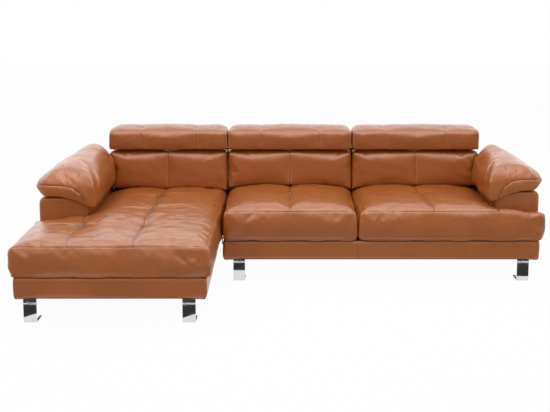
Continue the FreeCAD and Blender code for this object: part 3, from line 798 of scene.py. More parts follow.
def refined(piece, chosen):
    # twice as fine where chosen says so
    bm = bmesh.new()
    bm.from_mesh(piece.data)
    picked = chosen(readPoints(piece.data))
    bm.verts.ensure_lookup_table()
    edges = [edge for edge in bm.edges if picked[edge.verts[0].index] and picked[edge.verts[1].index]]
    bmesh.ops.subdivide_edges(bm, edges=edges, cuts=1, use_grid_fill=True)
    bm.to_mesh(piece.data)
    bm.free()


def keepInline(piece, node, start=-10.0):
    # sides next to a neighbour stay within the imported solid's width
    low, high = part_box(node)
    points = readPoints(piece.data)
    inside = np.clip(points[:, 0], low.x + 0.0004, high.x - 0.0004)
    points[:, 0] = np.where(points[:, 1] > start, inside, points[:, 0])
    writePoints(piece.data, points)


def everywhere(points):
    return np.ones(len(points), bool)


print("sofa: tools ready")


# Seats

armBoxes = {side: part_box(side + "_arm_cover") for side in ("left", "right")}
seatShapes = {
    "voxel": {"chaise": 0.0115, "middle": 0.0105, "right": 0.0105},
    "cornerRounding": 0.034,
    "crown": 0.027,
    "endDrop": 0.010,
    "topRounding": 0.029,
    "tuck": 0.011,             # how far the open sides draw in at the bottom
    "tuckHeight": 0.060,
    "shrink": 0.005,           # the pad starts smaller, because it swells
    "tufts": {
        "chaise": ((-1.092, -0.448), (-0.767, -0.448), (-0.767, -0.040), (-0.767, 0.330)),
        "middle": ((-0.013, 0.369),),
        "right": ((0.745, 0.369),),
    },
    "tuftDepth": 0.005,
    "tuftWidth": 0.060,
    "pinchDepth": 0.011,
    "pinch": (0.032, 0.034),   # half width and half depth of the pinched hollow
    "lipSeamDrop": 0.012,
    "hemHeight": 0.011,
}
seamPaths = {
    "chaiseInner": ((-0.86, -0.66, -0.52, -0.448, -0.38, -0.25, -0.12, -0.04, 0.04, 0.17, 0.33, 0.74),
                    (-0.780, -0.786, -0.778, -0.767, -0.774, -0.786, -0.780, -0.767, -0.773, -0.777,
                     -0.767, -0.765)),
    "chaiseOuter": ((-0.86, -0.68, -0.51, -0.448, -0.38, -0.17, 0.0, 0.74),
                    (-1.101, -1.115, -1.110, -1.092, -1.104, -1.121, -1.124, -1.124)),
    "middle": ((-0.09, 0.30, 0.369, 0.45, 0.74), (-0.014, -0.012, -0.013, -0.011, -0.011)),
    "rightInner": ((-0.09, 0.15, 0.369, 0.74), (0.783, 0.768, 0.745, 0.741)),
    "rightOuter": ((-0.09, 0.05, 0.3), (1.140, 1.131, 1.128)),
}


def seatOutline(name):
    low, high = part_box(name + "_seat_cushion")
    rounding = seatShapes["cornerRounding"]
    leftArm, rightArm = armBoxes["left"], armBoxes["right"]
    gap = 0.0005
    front = [(low.x, low.y, rounding), (high.x, low.y, rounding)]
    if name == "chaise":
        step = leftArm[1].x + gap
        return front + [(high.x, high.y, 0.006), (step, high.y, 0), (step, leftArm[0].y - gap, 0),
                        (low.x, leftArm[0].y - gap, 0.012)]
    if name == "right":
        step = rightArm[0].x - gap
        return front + [
            (high.x, rightArm[0].y - gap, 0.012), (step, rightArm[0].y - gap, 0), (step, high.y, 0),
            (low.x, high.y, 0.006),
        ]
    return front + [(high.x, high.y, 0.006), (low.x, high.y, 0.006)]


def seatCrown(name, points, low, high):
    # how much the top rises above its edges
    innerHigh = min(high.x, armBoxes["right"][0].x)
    innerLow = max(low.x, armBoxes["left"][1].x) if name == "chaise" else low.x
    armFront = armBoxes["left" if name == "chaise" else "right"][0].y
    behind = ease((points[:, 1] - armFront + 0.25) / 0.5)
    left = low.x + (innerLow - low.x) * behind
    right = high.x + (innerHigh - high.x) * behind
    across = np.clip((points[:, 0] - (left + right) / 2) / ((right - left) / 2), -1, 1)
    along = np.clip((points[:, 1] - (low.y + high.y) / 2) / ((high.y - low.y) / 2), -1, 1)
    rise = (1 - np.abs(across) ** 3) * (0.38 + 0.62 * (1 - np.abs(along) ** 3))
    drop = np.abs(across) ** 14
    return seatShapes["crown"] * rise - seatShapes["endDrop"] * drop


def makeSeat(name, material):
    low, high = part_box(name + "_seat_cushion")
    edge = high.z - 0.026
    block = blockFrom(seatOutline(name), "XY", low.z, edge)
    armX = (armBoxes["left"][1].x if name == "chaise" else armBoxes["right"][0].x)
    rim = []
    for side in block.edges:
        middle = (side.verts[0].co + side.verts[1].co) / 2
        besideArm = abs(middle.x - armX) < 0.003 and middle.y > armBoxes["left"][0].y
        if (
            min(vert.co.z for vert in side.verts) > edge - 0.00001
            and middle.y < high.y - 0.01
            and not besideArm
        ):
            rim.append(side)
    bmesh.ops.bevel(
        block, geom=rim, offset=seatShapes["topRounding"], offset_type="OFFSET", segments=5, profile=0.5,
        affect="EDGES", material=-1,
    )
    piece = newPiece(name + "Seat", block, material, stands=(name + "_seat_cushion",))
    remeshed(piece, seatShapes["voxel"][name], 3)
    points = readPoints(piece.data)
    normals = readNormals(piece.data)
    lift = np.clip((points[:, 2] - low.z) / (edge - low.z), 0, 1)
    points[:, 2] += lift ** 2 * seatCrown(name, points, low, high)
    tuck = seatShapes["tuck"] * (1 - ease((points[:, 2] - low.z) / seatShapes["tuckHeight"]))
    points[:, 1] += tuck * np.clip((high.y - points[:, 1]) / (high.y - low.y), 0, 1)
    share = (points[:, 0] - (low.x + high.x) / 2) / (high.x - low.x) * 2
    free = np.where(
        share > 0, ease((-0.03 - points[:, 1]) / 0.12), ease((armBoxes["left"][0].y - points[:, 1]) / 0.1)
    )
    openSide = {"chaise": np.abs(share) * free, "middle": 0 * share, "right": np.clip(share, 0, 1)}[name]
    points[:, 0] -= tuck * np.sign(share) * openSide
    top = ease((normals[:, 2] - 0.3) / 0.5)
    for x, y in seatShapes["tufts"][name]:
        points[:, 2] += top * dent(points, (x, y, 0), seatShapes["tuftDepth"], seatShapes["tuftWidth"])
    seams = seatSeamLines(name)
    trough = np.zeros(len(points))
    for path in seams:
        gap = np.abs(points[:, 0] - np.interp(points[:, 1], *path))
        trough = np.maximum(trough, np.exp(-((gap / 0.030) ** 2)))
    points[:, 2] -= 0.004 * trough * top
    bottom = points[:, 2] < low.z + 0.006
    sideways = np.abs(normals[:, 0]) > 0.8
    beyond = points[:, 1] > {"chaise": -0.05, "middle": -0.2, "right": -0.2}[name]
    inline = sideways & beyond
    points -= normals * (seatShapes["shrink"] * ~(bottom | inline))[:, None]
    writePoints(piece.data, points)
    held = np.zeros(len(points))
    held[np.minimum(trough, top) > 0.80] = 0.5
    for x, y in seatShapes["tufts"][name]:
        held[(np.hypot(points[:, 0] - x, points[:, 1] - y) < 0.016) & (top > 0.5)] = 1.0
    held[bottom] = 1.0
    rear = points[:, 1] > high.y - 0.03
    arm = armBoxes["left"] if name == "chaise" else armBoxes["right"]
    beside = (
        (points[:, 1] > arm[0].y - 0.02)
        & (points[:, 0] > arm[0].x - 0.02)
        & (points[:, 0] < arm[1].x + 0.02)
    )
    held[(rear | beside) & (top < 0.5)] = 1.0
    holdPoints(piece, held)
    return {"piece": piece, "limit": 0.013, "push": 1.0}


def seatSeamLines(name):
    return {
        "chaise": (seamPaths["chaiseInner"], seamPaths["chaiseOuter"]),
        "middle": (seamPaths["middle"],),
        "right": (seamPaths["rightInner"], seamPaths["rightOuter"]),
    }[name]


def finishSeat(pad, name):
    piece = pad["piece"]
    smoothed(piece)

    def nearTuft(points):
        near = np.zeros(len(points), bool)
        for x, y in seatShapes["tufts"][name]:
            near |= (np.hypot((points[:, 0] - x) / 1.4, points[:, 1] - y) < 0.07) & (points[:, 2] > 0.38)
        return near

    refined(piece, nearTuft)
    keepInline(piece, name + "_seat_cushion", {"chaise": -0.07, "middle": -0.2, "right": -0.2}[name])
    low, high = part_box(name + "_seat_cushion")
    edge = high.z - 0.026
    points = readPoints(piece.data)
    normals = readNormals(piece.data)
    top = ease((normals[:, 2] - 0.2) / 0.5)
    move = 0.0016 * waves(points, 0.16, 11) + 0.0007 * waves(points, 0.055, 12)
    if name == "chaise":
        move += 0.0006 * top * waves(points, 0.030, 13, (0.12, 1.0, 0.2))
    shade = np.zeros(len(points))
    small = 1.0 if name == "chaise" else 0.5
    for number, (x, y) in enumerate(seatShapes["tufts"][name]):
        z = edge + 0.02
        level = points * (1, 1, 0) + (0, 0, z)
        chance = np.random.default_rng(40 + number)
        lean = chance.uniform(-0.25, 0.25)
        offX, offY = points[:, 0] - x, points[:, 1] - y - lean * (points[:, 0] - x)
        wide, deep = seatShapes["pinch"]
        hollow = np.exp(-((offX / (wide * small)) ** 2) - ((offY / deep) ** 2))
        move -= top * hollow * seatShapes["pinchDepth"]
        # painted shade: the pinched hollow is darkened in the leather's colour through the seam attribute
        paintedTuftShade = np.exp(
            -(((offX / (wide * small)) ** 2 + ((offY - 0.006) / (1.1 * deep * small)) ** 2) ** 1.4)
        )
        shade = np.maximum(shade, paintedTuftShade * (1.0 if name == "chaise" else 0.4))
        for side in (-1, 1):
            reach = 0.20 * small * chance.uniform(0.8, 1.2)
            tilt = lean * reach * side * 0.5
            move += top * fold(
                level, (x - side * 0.012, y, z), (x + side * reach, y + tilt, z), 0.0050 * small, 0.009
            )
            lift = (x + chance.uniform(-0.01, 0.01), y + side * 0.11 * small, z)
            move += top * fold(level, (x, y - side * 0.01, z), lift, 0.003 * small, 0.009)
            end = (x + side * 0.08 * small, y + chance.uniform(0.05, 0.09) * small, z)
            move += top * fold(level, (x, y, z), end, 0.0022 * small, 0.008)
            end = (x + side * 0.09 * small, y - chance.uniform(0.04, 0.08) * small, z)
            move += top * fold(level, (x, y, z), end, 0.0020 * small, 0.008)
    ring = points[:, 0] * 1.0 + points[:, 1] * 1.0
    move += (1 - top) * puckers(
        points, ring, points[:, 2] - (edge - seatShapes["lipSeamDrop"]), 0.045, 0.0009, 0.02, 5
    )
    writePoints(piece.data, points + normals * move[:, None])
    armFront = (armBoxes["left"] if name == "chaise" else armBoxes["right"])[0].y
    seams = []
    for number, path in enumerate(seatSeamLines(name)):
        outer = number == 1
        limit = armFront + (0.10 if name == "chaise" else 0.06) if outer else high.y

        def onTop(points, limit=limit):
            return (points[:, 2] > edge - 0.012) & (points[:, 1] < limit)

        seams.append({
            "way": (1, 0, 0), "at": float(path[1][0]), "path": path, "where": onTop, "depth": 0.0036,
            "shade": 0.65,
        })
    lip = edge - seatShapes["lipSeamDrop"]

    def outside(points):
        return points[:, 1] < armFront + 0.35

    seams.append({"way": (0, 0, 1), "at": lip, "where": outside, "depth": 0.0014, "shade": 0.15})
    seams.append({"way": (0, 0, 1), "at": low.z + seatShapes["hemHeight"], "where": outside, "depth": 0.0012,
                  "stitch": "single", "shade": 0.3})
    if name != "chaise":
        x, y = seatShapes["tufts"][name][0]
        back = (
            np.abs(np.abs(points[:, 0] - np.interp(points[:, 1], *seatSeamLines(name)[0])) - 0.008) < 0.003
        )
        # rows beside the seam behind the tuft are lightened: partly the pale thread's colour, partly a
        # painted highlight
        shade = np.where(back & (points[:, 1] > y + 0.01) & (top > 0.5), -0.4, shade)
    sew(piece, seams, thread, "sofa", shade)


pads = {}
for seatName in ("chaise", "middle", "right"):
    pads[seatName + "Seat"] = makeSeat(seatName, seatLeather)
print("sofa: seats shaped")


# Back cushions

backShapes = {
    "voxel": 0.0105,
    "shrink": 0.004,
    "limit": 0.014,
    "seamHold": 0.5,
    "lift": 0.008,
}


def makeBackCushion(name, material):
    node = name + "_back_cushion"
    low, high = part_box(node)
    piece = newPiece(name + "BackCushion", copyNode(node), material, stands=(node,))
    remeshed(piece, backShapes["voxel"], 3)
    points = readPoints(piece.data)
    normals = readNormals(piece.data)
    points -= normals * backShapes["shrink"]
    middle = (low.x + high.x) / 2
    half = (high.x - low.x) / 2
    points[:, 0] = middle + (points[:, 0] - middle) * half / (half - backShapes["shrink"])
    points[:, 2] += backShapes["lift"] * ease((points[:, 2] - high.z + 0.10) / 0.09)
    writePoints(piece.data, points)
    held = np.zeros(len(points))
    held[(np.abs(points[:, 0] - middle) < 0.008)] = backShapes["seamHold"]
    held[(points[:, 1] > high.y - 0.012) | (points[:, 2] < low.z + 0.025)] = 1.0
    holdPoints(piece, held)
    return {"piece": piece, "limit": backShapes["limit"], "push": 1.0}


backFolds = {
    # start, end, depth and width of the folds that show on each front face
    "chaise": (((-0.60, 0.55, 0.44), (-0.43, 0.55, 0.47), 0.0015, 0.012),),
    "middle": (((0.16, 0.55, 0.47), (0.26, 0.55, 0.42), 0.0018, 0.012),
               ((-0.34, 0.55, 0.45), (-0.20, 0.55, 0.43), 0.0014, 0.012)),
    "right": (((1.02, 0.55, 0.575), (1.09, 0.55, 0.49), 0.0055, 0.014),
              ((1.06, 0.55, 0.60), (1.115, 0.55, 0.54), 0.0040, 0.012),
              ((0.97, 0.55, 0.50), (1.09, 0.55, 0.46), 0.0030, 0.013)),
}


def finishBackCushion(pad, name):
    piece = pad["piece"]
    smoothed(piece)
    keepInline(piece, name + "_back_cushion")
    low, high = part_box(name + "_back_cushion")
    middle = (low.x + high.x) / 2
    points = readPoints(piece.data)
    normals = readNormals(piece.data)
    move = 0.0014 * waves(points, 0.20, 21) + 0.0006 * waves(points, 0.06, 22)
    for start, end, depth, width in backFolds[name]:
        start = (start[0], low.y, start[2])
        end = (end[0], low.y, end[2])
        move += fold(points, start, end, depth, width)
    writePoints(piece.data, points + normals * move[:, None])

    def shown(points):
        return (points[:, 1] < high.y - 0.01) & (points[:, 2] > low.z + 0.01)

    seams = [{"way": (1, 0, 0), "at": middle, "where": shown, "depth": 0.0026, "shade": 0.30,
              "stitch": "double"}]
    sew(piece, seams, thread, "sofa")


for bayName in ("chaise", "middle", "right"):
    pads[bayName + "BackCushion"] = makeBackCushion(bayName, backLeather)
print("sofa: back cushions shaped")


# Headrests

restShapes = {
    "voxel": 0.0095,
    "shrink": 0.004,
    "limit": 0.011,
    "panelSeams": (0.268, 0.735),    # the two cross seams, as shares of the width
    "endSeam": 0.017,
    # the side outline: from the front, from the bottom and how far each corner's rounding reaches
    "outline": (
        (0.0, -0.009, 0.017), (0.0, 0.112, 0.022), (0.146, 0.140, 0.060), (0.265, 0.117, 0.030),
        (0.265, -0.013, 0.022),
    ),
    "slit": {"width": 0.0185, "front": 0.0115, "back": 0.093, "height": 0.040},
}
hingeShare = 0.3


def makeHeadrest(name, material):
    node = name + "_headrest_cushion"
    low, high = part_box(node)
    outline = [(low.y + across, low.z + up, rounding) for across, up, rounding in restShapes["outline"]]
    outline.reverse()
    piece = newPiece(
        name + "Headrest", blockFrom(outline, "YZ", low.x, high.x), material, name + "_headrest", (node,)
    )
    remeshed(piece, restShapes["voxel"], 3)
    points = readPoints(piece.data)
    normals = readNormals(piece.data)
    middle = (low.x + high.x) / 2
    half = (high.x - low.x) / 2
    side = np.sign(points[:, 0] - middle)
    toEnd = half - np.abs(points[:, 0] - middle)
    upper = ease((points[:, 2] - low.z - 0.06) / 0.08) * ease((points[:, 1] - low.y + 0.02) / 0.2)
    points[:, 0] -= side * 0.014 * upper * ease(1 - toEnd / 0.06)
    points[:, 2] -= 0.009 * upper * ease(1 - toEnd / 0.05)
    points -= normals * restShapes["shrink"]
    points[:, 0] = middle + (points[:, 0] - middle) * half / (half - restShapes["shrink"])
    writePoints(piece.data, points)
    held = np.zeros(len(points))
    for share in restShapes["panelSeams"]:
        seamX = low.x + share * (high.x - low.x)
        held[np.abs(points[:, 0] - seamX) < 0.008] = 0.5
    held[toEnd < 0.012] = 0.5
    held[points[:, 2] < low.z + 0.012] = 1.0
    holdPoints(piece, held)
    return {"piece": piece, "limit": restShapes["limit"], "push": 1.0}


def finishHeadrest(pad, name):
    piece = pad["piece"]
    smoothed(piece)
    keepInline(piece, name + "_headrest_cushion")
    low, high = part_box(name + "_headrest_cushion")
    points = readPoints(piece.data)
    normals = readNormals(piece.data)
    under = ease((points[:, 2] - low.z) / 0.03)
    seed = {"chaise": 31, "middle": 33, "right": 35}[name]
    move = 0.0015 * waves(points, 0.15, seed) + 0.0006 * waves(points, 0.05, seed + 1)
    writePoints(piece.data, points + normals * (move * under)[:, None])
    slots = restShapes["slit"]
    middle = (low.x + high.x) / 2
    offset = hingeShare * (high.x - low.x)
    for column in (middle - offset, middle + offset):
        bm = bmesh.new()
        size = (slots["width"], slots["back"] - slots["front"], slots["height"] + 0.02)
        centre = (
            column + 0.00425,
            low.y + (slots["front"] + slots["back"]) / 2,
            low.z + slots["height"] / 2 - 0.013,
        )
        bmesh.ops.create_cube(bm, size=1, matrix=Matrix.Translation(centre) @ Matrix.Diagonal((*size, 1)))
        mesh = bpy.data.meshes.new("slitTool")
        bm.to_mesh(mesh)
        bm.free()
        tool = bpy.data.objects.new("slitTool", mesh)
        scene.collection.objects.link(tool)
        cut = piece.modifiers.new("Slit", "BOOLEAN")
        cut.operation = "DIFFERENCE"
        cut.solver = "EXACT"
        cut.object = tool
        takeResult(piece)
        bpy.data.objects.remove(tool)
    seams = []
    for share in restShapes["panelSeams"]:
        spot = low.x + share * (high.x - low.x)
        seams.append({"way": (1, 0, 0), "at": spot, "where": everywhere, "depth": 0.0024, "shade": 0.30,
                      "stitch": "double"})
    for spot in (low.x + restShapes["endSeam"], high.x - restShapes["endSeam"]):
        seams.append({"way": (1, 0, 0), "at": spot, "where": everywhere, "depth": 0.0020, "shade": 0.20})
    sew(piece, seams, thread, name + "_headrest")


for bayName in ("chaise", "middle", "right"):
    pads[bayName + "Headrest"] = makeHeadrest(bayName, restLeather)
print("sofa: headrests shaped")


# Arm pillows

pillowShapes = {
    "voxel": 0.0095,
    "shrink": 0.005,
    "limit": 0.016,
    "rearSeam": 0.66,          # the cross seam near the crest, as a share of the length
    "cornerBend": 0.10,        # rounding of the front outer corner, seen from above
    # the outer slope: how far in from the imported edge, and the height above the arm
    "slope": ((0.0, 0.060), (0.175, 0.174)),
    "tuckUnder": ((0.0, 0.072), (0.068, 0.0)),
    "rearFall": ((0.545, 0.705), (0.0, 0.070)),
    # the lap in front of the arm: in from the inner face, and the height above the arm
    "lap": (
        (0.150, 0.012), (-0.030, 0.012), (-0.034, -0.058), (0.0, -0.058), (0.062, -0.026), (0.130, -0.004),
    ),
    "seamLine": ((-0.09, 0.004, 0.035, 0.085, 0.13, 0.45), (-0.100, -0.052, 0.022, 0.058, 0.066, 0.074)),
}


def cutAway(bm, spot, outward):
    # what lies beyond a plane goes, and the cut is closed
    cut = bmesh.ops.bisect_plane(
        bm, geom=bm.verts[:] + bm.edges[:] + bm.faces[:], dist=0.00001, plane_co=spot, plane_no=outward,
        clear_outer=True,
    )
    rim = [item for item in cut["geom_cut"] if isinstance(item, bmesh.types.BMEdge)]
    bmesh.ops.contextual_create(bm, geom=rim)
    bmesh.ops.triangulate(bm, faces=[face for face in bm.faces if len(face.verts) > 4])


def makePillow(side, material):
    node = side + "_arm_pillow"
    low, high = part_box(node)
    way = 1 if side == "left" else -1
    outer = low.x if side == "left" else high.x
    inner = armBoxes[side][1].x if side == "left" else armBoxes[side][0].x
    armTop = armBoxes[side][1].z
    armFront = armBoxes[side][0].y
    bm = copyNode(node)
    for name in ("slope", "tuckUnder"):
        (in0, up0), (in1, up1) = pillowShapes[name]
        spot = Vector((outer + way * in0, 0, armTop + up0))
        along = Vector((way * (in1 - in0), 0, up1 - up0))
        turn = -way if name == "slope" else way
        outward = Vector((along.z * turn, 0, -along.x * turn))
        cutAway(bm, spot, outward)
    bm.normal_update()
    lap = [(inner - way * inward, armTop + up, 0) for inward, up in pillowShapes["lap"]]
    piece = newPiece(side + "ArmPillow", bm, material, stands=(node,))
    front = blockFrom(lap if way < 0 else lap[::-1], "XZ", low.y - 0.003, armFront - 0.0025)
    bm = bmesh.new()
    bm.from_mesh(piece.data)
    extra = bpy.data.meshes.new("lap")
    front.to_mesh(extra)
    front.free()
    bm.from_mesh(extra)
    bpy.data.meshes.remove(extra)
    bm.to_mesh(piece.data)
    bm.free()
    remeshed(piece, pillowShapes["voxel"], 7)
    points = readPoints(piece.data)
    fromEdge = np.clip((points[:, 0] - outer) * way, 0, None)
    bend = pillowShapes["cornerBend"]
    inset = bend - np.sqrt(np.clip(bend ** 2 - np.clip(bend - fromEdge, 0, bend) ** 2, 0, None))
    points[:, 1] += (
        inset * np.clip(1 - (points[:, 1] - low.y) / 0.5, 0, 1) * ease((points[:, 2] - armTop + 0.02) / 0.03)
    )
    (y0, y1), (drop0, drop1) = pillowShapes["rearFall"]
    fall = np.interp(points[:, 1], (y0, y1), (drop0, drop1)) * ease((points[:, 2] - armTop - 0.05) / 0.13)
    points[:, 2] -= fall
    writePoints(piece.data, points)
    normals = readNormals(piece.data)
    points -= normals * pillowShapes["shrink"]
    writePoints(piece.data, points)
    held = np.zeros(len(points))
    held[(points[:, 2] < armTop + 0.008) & (normals[:, 2] < -0.4)] = 1.0
    cross = low.y + pillowShapes["rearSeam"] * (high.y - low.y)
    held[(np.abs(points[:, 1] - cross) < 0.008) & (normals[:, 2] > 0)] = 0.5
    held[(points[:, 1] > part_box("chaise_back_cushion")[0].y - 0.01) & (np.abs(normals[:, 0]) > 0.6)] = 0.75
    holdPoints(piece, held)
    return {"piece": piece, "limit": pillowShapes["limit"], "push": 1.2}


def finishPillow(pad, side):
    piece = pad["piece"]
    smoothed(piece)
    low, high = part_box(side + "_arm_pillow")
    points = readPoints(piece.data)
    normals = readNormals(piece.data)
    seed = 51 if side == "left" else 61
    way = 1 if side == "left" else -1
    crossY = low.y + pillowShapes["rearSeam"] * (high.y - low.y)
    move = 0.0022 * waves(points, 0.24, seed) + 0.0004 * waves(points, 0.06, seed + 1, (1.0, 0.6, 1.0))
    inner = armBoxes[side][1].x if side == "left" else armBoxes[side][0].x
    armTop = armBoxes[side][1].z
    inward = (inner - points[:, 0]) * way
    seamZ = armTop + np.interp(inward, *pillowShapes["seamLine"])
    face = ease((0.06 - (points[:, 1] - low.y)) / 0.05)
    move += face * puckers(points, inward, points[:, 2] - seamZ, 0.030, 0.0010, 0.014, seed + 2)
    for inside, up, run, rise, depth in (
        (0.075, 0.062, 0.030, 0.030, 0.0045), (0.050, 0.040, 0.030, 0.045, 0.004),
        (0.020, 0.0, 0.035, 0.045, 0.005), (0.105, 0.070, 0.012, 0.028, 0.003),
    ):
        start = (inner - way * inside, low.y + 0.004, armTop + up - 0.012)
        end = (inner - way * (inside + 0.3 * run), low.y + run, armTop + up + rise)
        move += fold(points, start, end, depth, 0.009)
    crease = fold(points, (inner - way * 0.02, low.y + 0.02, armTop - 0.03),
                  (inner + way * 0.045, low.y + 0.16, armTop + 0.02), 0.003, 0.016)
    writePoints(piece.data, points + normals * (move + crease)[:, None])

    def belt(points):
        onFront = (points[:, 1] < low.y + 0.10) & ((inner - points[:, 0]) * way > -0.055)
        return onFront | ((inner - points[:, 0]) * way > 0.10)

    def upper(points):
        return points[:, 2] > 0.53

    places = inner - way * np.array(pillowShapes["seamLine"][0])
    heights = armTop + np.array(pillowShapes["seamLine"][1])
    order = np.argsort(places)
    line = (places[order], heights[order])
    seams = [
        {
            "way": (0, 0, 1), "at": armTop, "path": line, "along": 0, "where": belt, "depth": 0.0036,
            "shade": 0.45,
        },
        {"way": (0, 1, 0), "at": crossY, "where": upper, "depth": 0.0024, "shade": 0.45},
    ]
    sew(piece, seams, thread, "sofa")


for armSide in ("left", "right"):
    pads[armSide + "ArmPillow"] = makePillow(armSide, armLeather)
print("sofa: pillows shaped")

puff(list(pads.values()))
for seatName in ("chaise", "middle", "right"):
    finishSeat(pads[seatName + "Seat"], seatName)
    finishBackCushion(pads[seatName + "BackCushion"], seatName)
    finishHeadrest(pads[seatName + "Headrest"], seatName)
for armSide in ("left", "right"):
    finishPillow(pads[armSide + "ArmPillow"], armSide)
print("sofa: cushions sewn")


# Arms and backs: padded shells, firm enough to need no filling

shellShapes = {
    "armVoxel": 0.013,
    "backVoxel": 0.014,
    "armRounding": 0.026,
    "backRounding": 0.020,
    "puff": 0.004,
    "lift": 0.009,
}


def makeArmBody(side, material):
    low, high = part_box(side + "_arm_cover")
    rounding = shellShapes["armRounding"]
    corners = [
        (low.x, low.z, 0.012), (high.x, low.z, 0.012), (high.x, high.z, rounding), (low.x, high.z, rounding),
    ]
    piece = newPiece(
        side + "ArmBody", blockFrom(corners, "XZ", low.y, high.y), material, stands=(side + "_arm_cover",)
    )
    remeshed(piece, shellShapes["armVoxel"], 4)
    points = readPoints(piece.data)
    normals = readNormals(piece.data)
    move = 0.0012 * waves(points, 0.18, 71) - 0.001
    writePoints(piece.data, points + normals * move[:, None])
    seams = [{"way": (0, 1, 0), "at": low.y + 0.028, "where": everywhere, "depth": 0.0014, "shade": 0.2}]
    smoothed(piece)
    sew(piece, seams, thread, "sofa")


def makeBackShell(module, bays, material):
    node = module + "_back_cover"
    low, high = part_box(node)
    rounding = shellShapes["backRounding"]
    corners = [
        (low.y, low.z, 0.010), (high.y, low.z, 0.010), (high.y, high.z, rounding), (low.y, high.z, rounding),
    ]
    piece = newPiece(module + "BackShell", blockFrom(corners, "YZ", low.x, high.x), material, stands=(node,))
    remeshed(piece, shellShapes["backVoxel"], 3)
    smoothed(piece)
    points = readPoints(piece.data)
    normals = readNormals(piece.data)
    rearFace = ease((normals[:, 1] - 0.5) / 0.4)
    move = 0.0016 * waves(points, 0.30, 81) - 0.002
    for start, end in bays:
        across = np.clip((points[:, 0] - (start + end) / 2) / ((end - start) / 2), -1, 1)
        inside = (points[:, 0] > start) & (points[:, 0] < end)
        up = np.clip((points[:, 2] - (low.z + high.z) / 2) / ((high.z - low.z) / 2), -1, 1)
        move += inside * rearFace * shellShapes["puff"] * (1 - across ** 4) * (1 - up ** 4)
    points += normals * move[:, None]
    left, right = points[:, 0].min(), points[:, 0].max()
    points[:, 0] = low.x - 0.0006 + (points[:, 0] - left) * (high.x - low.x + 0.0012) / (right - left)
    points[:, 2] += shellShapes["lift"] * ease((points[:, 2] - high.z + 0.10) / 0.09)
    writePoints(piece.data, points)
    seams = [{"way": (0, 0, 1), "at": high.z - 0.035, "where": lambda points: points[:, 1] > high.y - 0.02,
              "depth": 0.0020, "stitch": "single"}]
    for start, end in bays[1:]:
        seams.append({
            "way": (1, 0, 0), "at": start, "where": everywhere, "depth": 0.0022, "stitch": "double",
        })
    sew(piece, seams, thread, "sofa")


for armSide in ("left", "right"):
    makeArmBody(armSide, armLeather)
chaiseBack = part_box("chaise_back_cover")
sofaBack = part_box("sofa_back_cover")
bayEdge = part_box("middle_back_cushion")[1].x + 0.0015
makeBackShell("chaise", ((chaiseBack[0].x, chaiseBack[1].x),), baseLeather)
makeBackShell("sofa", ((sofaBack[0].x, bayEdge), (bayEdge, sofaBack[1].x)), baseLeather)
print("sofa: arms and backs done")


# Base bands: leather pulled round each base box and turned under it

bandShapes = {
    "wall": 0.0048,
    "rounding": 0.016,
    "cell": 0.012,
    "topRoll": 0.006,
    "swell": 0.0035,
    "sag": 0.004,
}


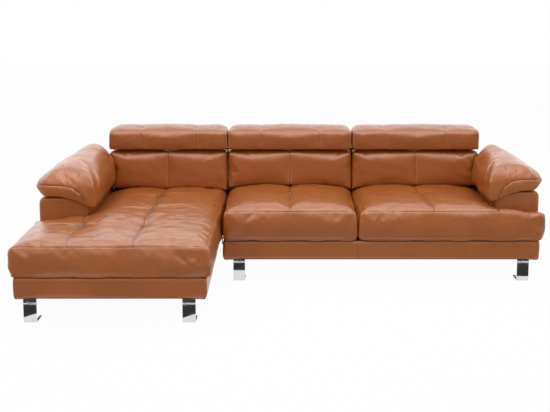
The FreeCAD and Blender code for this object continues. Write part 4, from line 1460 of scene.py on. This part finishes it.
def makeBand(module, seamsAt, material):
    sides = [module + "_base_cover_" + side for side in ("front", "back", "left", "right")]
    boxes = [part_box(side) for side in sides]
    low = Vector(min(box[0][axis] for box in boxes) for axis in range(3))
    high = Vector(max(box[1][axis] for box in boxes) for axis in range(3))
    bm = bmesh.new()
    centre = (low + high) / 2
    size = high - low
    bmesh.ops.create_cube(bm, size=1, matrix=Matrix.Translation(centre) @ Matrix.Diagonal((*size, 1)))
    ends = [face for face in bm.faces if abs(face.normal.z) > 0.5]
    bmesh.ops.delete(bm, geom=ends, context="FACES_ONLY")
    upright = [edge for edge in bm.edges if abs(edge.verts[0].co.z - edge.verts[1].co.z) > 0.01]
    bmesh.ops.bevel(
        bm, geom=upright, offset=bandShapes["rounding"], offset_type="OFFSET", segments=4, profile=0.5,
        affect="EDGES", material=-1,
    )
    cell = bandShapes["cell"]
    for axis, way in ((0, (1, 0, 0)), (1, (0, 1, 0)), (2, (0, 0, 1))):
        count = int((high[axis] - low[axis]) / cell)
        for index in range(1, count):
            spot = Vector((0, 0, 0))
            spot[axis] = low[axis] + (high[axis] - low[axis]) * index / count
            if axis < 2 and min(spot[axis] - low[axis], high[axis] - spot[axis]) < bandShapes["rounding"]:
                continue
            bmesh.ops.bisect_plane(
                bm, geom=bm.verts[:] + bm.edges[:] + bm.faces[:], dist=0.0001, plane_co=spot, plane_no=way
            )
    bmesh.ops.recalc_face_normals(bm, faces=bm.faces)
    outward = sum((face.calc_center_median() - centre).dot(face.normal) for face in bm.faces)
    if outward < 0:
        bmesh.ops.reverse_faces(bm, faces=bm.faces)
    bm.normal_update()
    for vert in bm.verts:
        up = (vert.co.z - low.z) / size.z
        roll = bandShapes["topRoll"] * max(0.0, (abs(up - 0.5) - 0.40) / 0.10) ** 2
        puffed = bandShapes["swell"] * (1 - abs(2 * up - 1) ** 3) - 0.0012
        vert.co += vert.normal * (puffed - roll)
    bmesh.ops.solidify(bm, geom=bm.faces[:], thickness=bandShapes["wall"])
    bmesh.ops.recalc_face_normals(bm, faces=bm.faces)
    piece = newPiece(module + "BaseBand", bm, material, stands=sides)
    points = readPoints(piece.data)
    normals = readNormals(piece.data)
    uneven = 0.0012 * waves(points, 0.22, 91) * ease((points[:, 2] - low.z) / 0.02)
    corner = np.minimum(points[:, 0] - low.x, high.x - points[:, 0])
    points[:, 2] -= (
        bandShapes["sag"] * np.exp(-((corner / 0.07) ** 2)) * ease(1 - (points[:, 2] - low.z) / 0.05)
    )
    writePoints(piece.data, points + normals * uneven[:, None])
    seams = []
    for spot in seamsAt:
        seams.append({"way": (1, 0, 0), "at": spot, "where": everywhere, "depth": 0.0014, "shade": 0.3})
    sew(piece, seams, thread, "sofa")


makeBand("chaise", (), baseLeather)
makeBand("sofa", (bayEdge,), baseLeather)
print("sofa: base bands done")


# Seat springs: bent wire, one line through each packed spring's bars

springShapes = {"pitch": 0.036, "halfWidth": 0.030, "wire": 0.0019}


def makeSprings(module, along, centres):
    node = module + "_seat_springs"
    low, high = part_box(node)
    middleZ = (low.z + high.z) / 2
    across = 1 - along
    start, end = low[along] + springShapes["wire"], high[along] - springShapes["wire"]
    bars = int(round((end - start) / springShapes["pitch"])) + 1
    pitch = (end - start) / (bars - 1)
    curve = bpy.data.curves.new(node, "CURVE")
    curve.dimensions = "3D"
    curve.bevel_depth = springShapes["wire"]
    curve.bevel_resolution = 1
    curve.resolution_u = 3
    curve.use_fill_caps = True
    for centre in centres:
        line = curve.splines.new("NURBS")
        line.points.add(2 * bars - 1)
        for bar in range(bars):
            turn = 1 if bar % 2 == 0 else -1
            for step, side in enumerate((-turn, turn)):
                spot = [0.0, 0.0, middleZ]
                spot[along] = start + bar * pitch
                spot[across] = centre + side * springShapes["halfWidth"]
                line.points[2 * bar + step].co = (*spot, 1)
        line.order_u = 3
        line.use_endpoint_u = True
    holder = bpy.data.objects.new(module + "SpringLine", curve)
    scene.collection.objects.link(holder)
    graph = bpy.context.evaluated_depsgraph_get()
    mesh = bpy.data.meshes.new_from_object(holder.evaluated_get(graph))
    bpy.data.objects.remove(holder)
    bm = bmesh.new()
    bm.from_mesh(mesh)
    bmesh.ops.remove_doubles(bm, verts=bm.verts, dist=0.00001)
    newPiece(module + "SeatSprings", bm, nodeFinishes["spring_steel"], stands=(node,))


def springCentres(module, along, count):
    low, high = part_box(module + "_seat_springs")
    across = 1 - along
    first, last = low[across] + springShapes["halfWidth"], high[across] - springShapes["halfWidth"]
    return [first + (last - first) * index / (count - 1) for index in range(count)]


makeSprings("chaise", 0, springCentres("chaise", 0, 8))
makeSprings("sofa", 1, springCentres("sofa", 1, 10))
print("sofa: springs done")


print("sofa: ready")
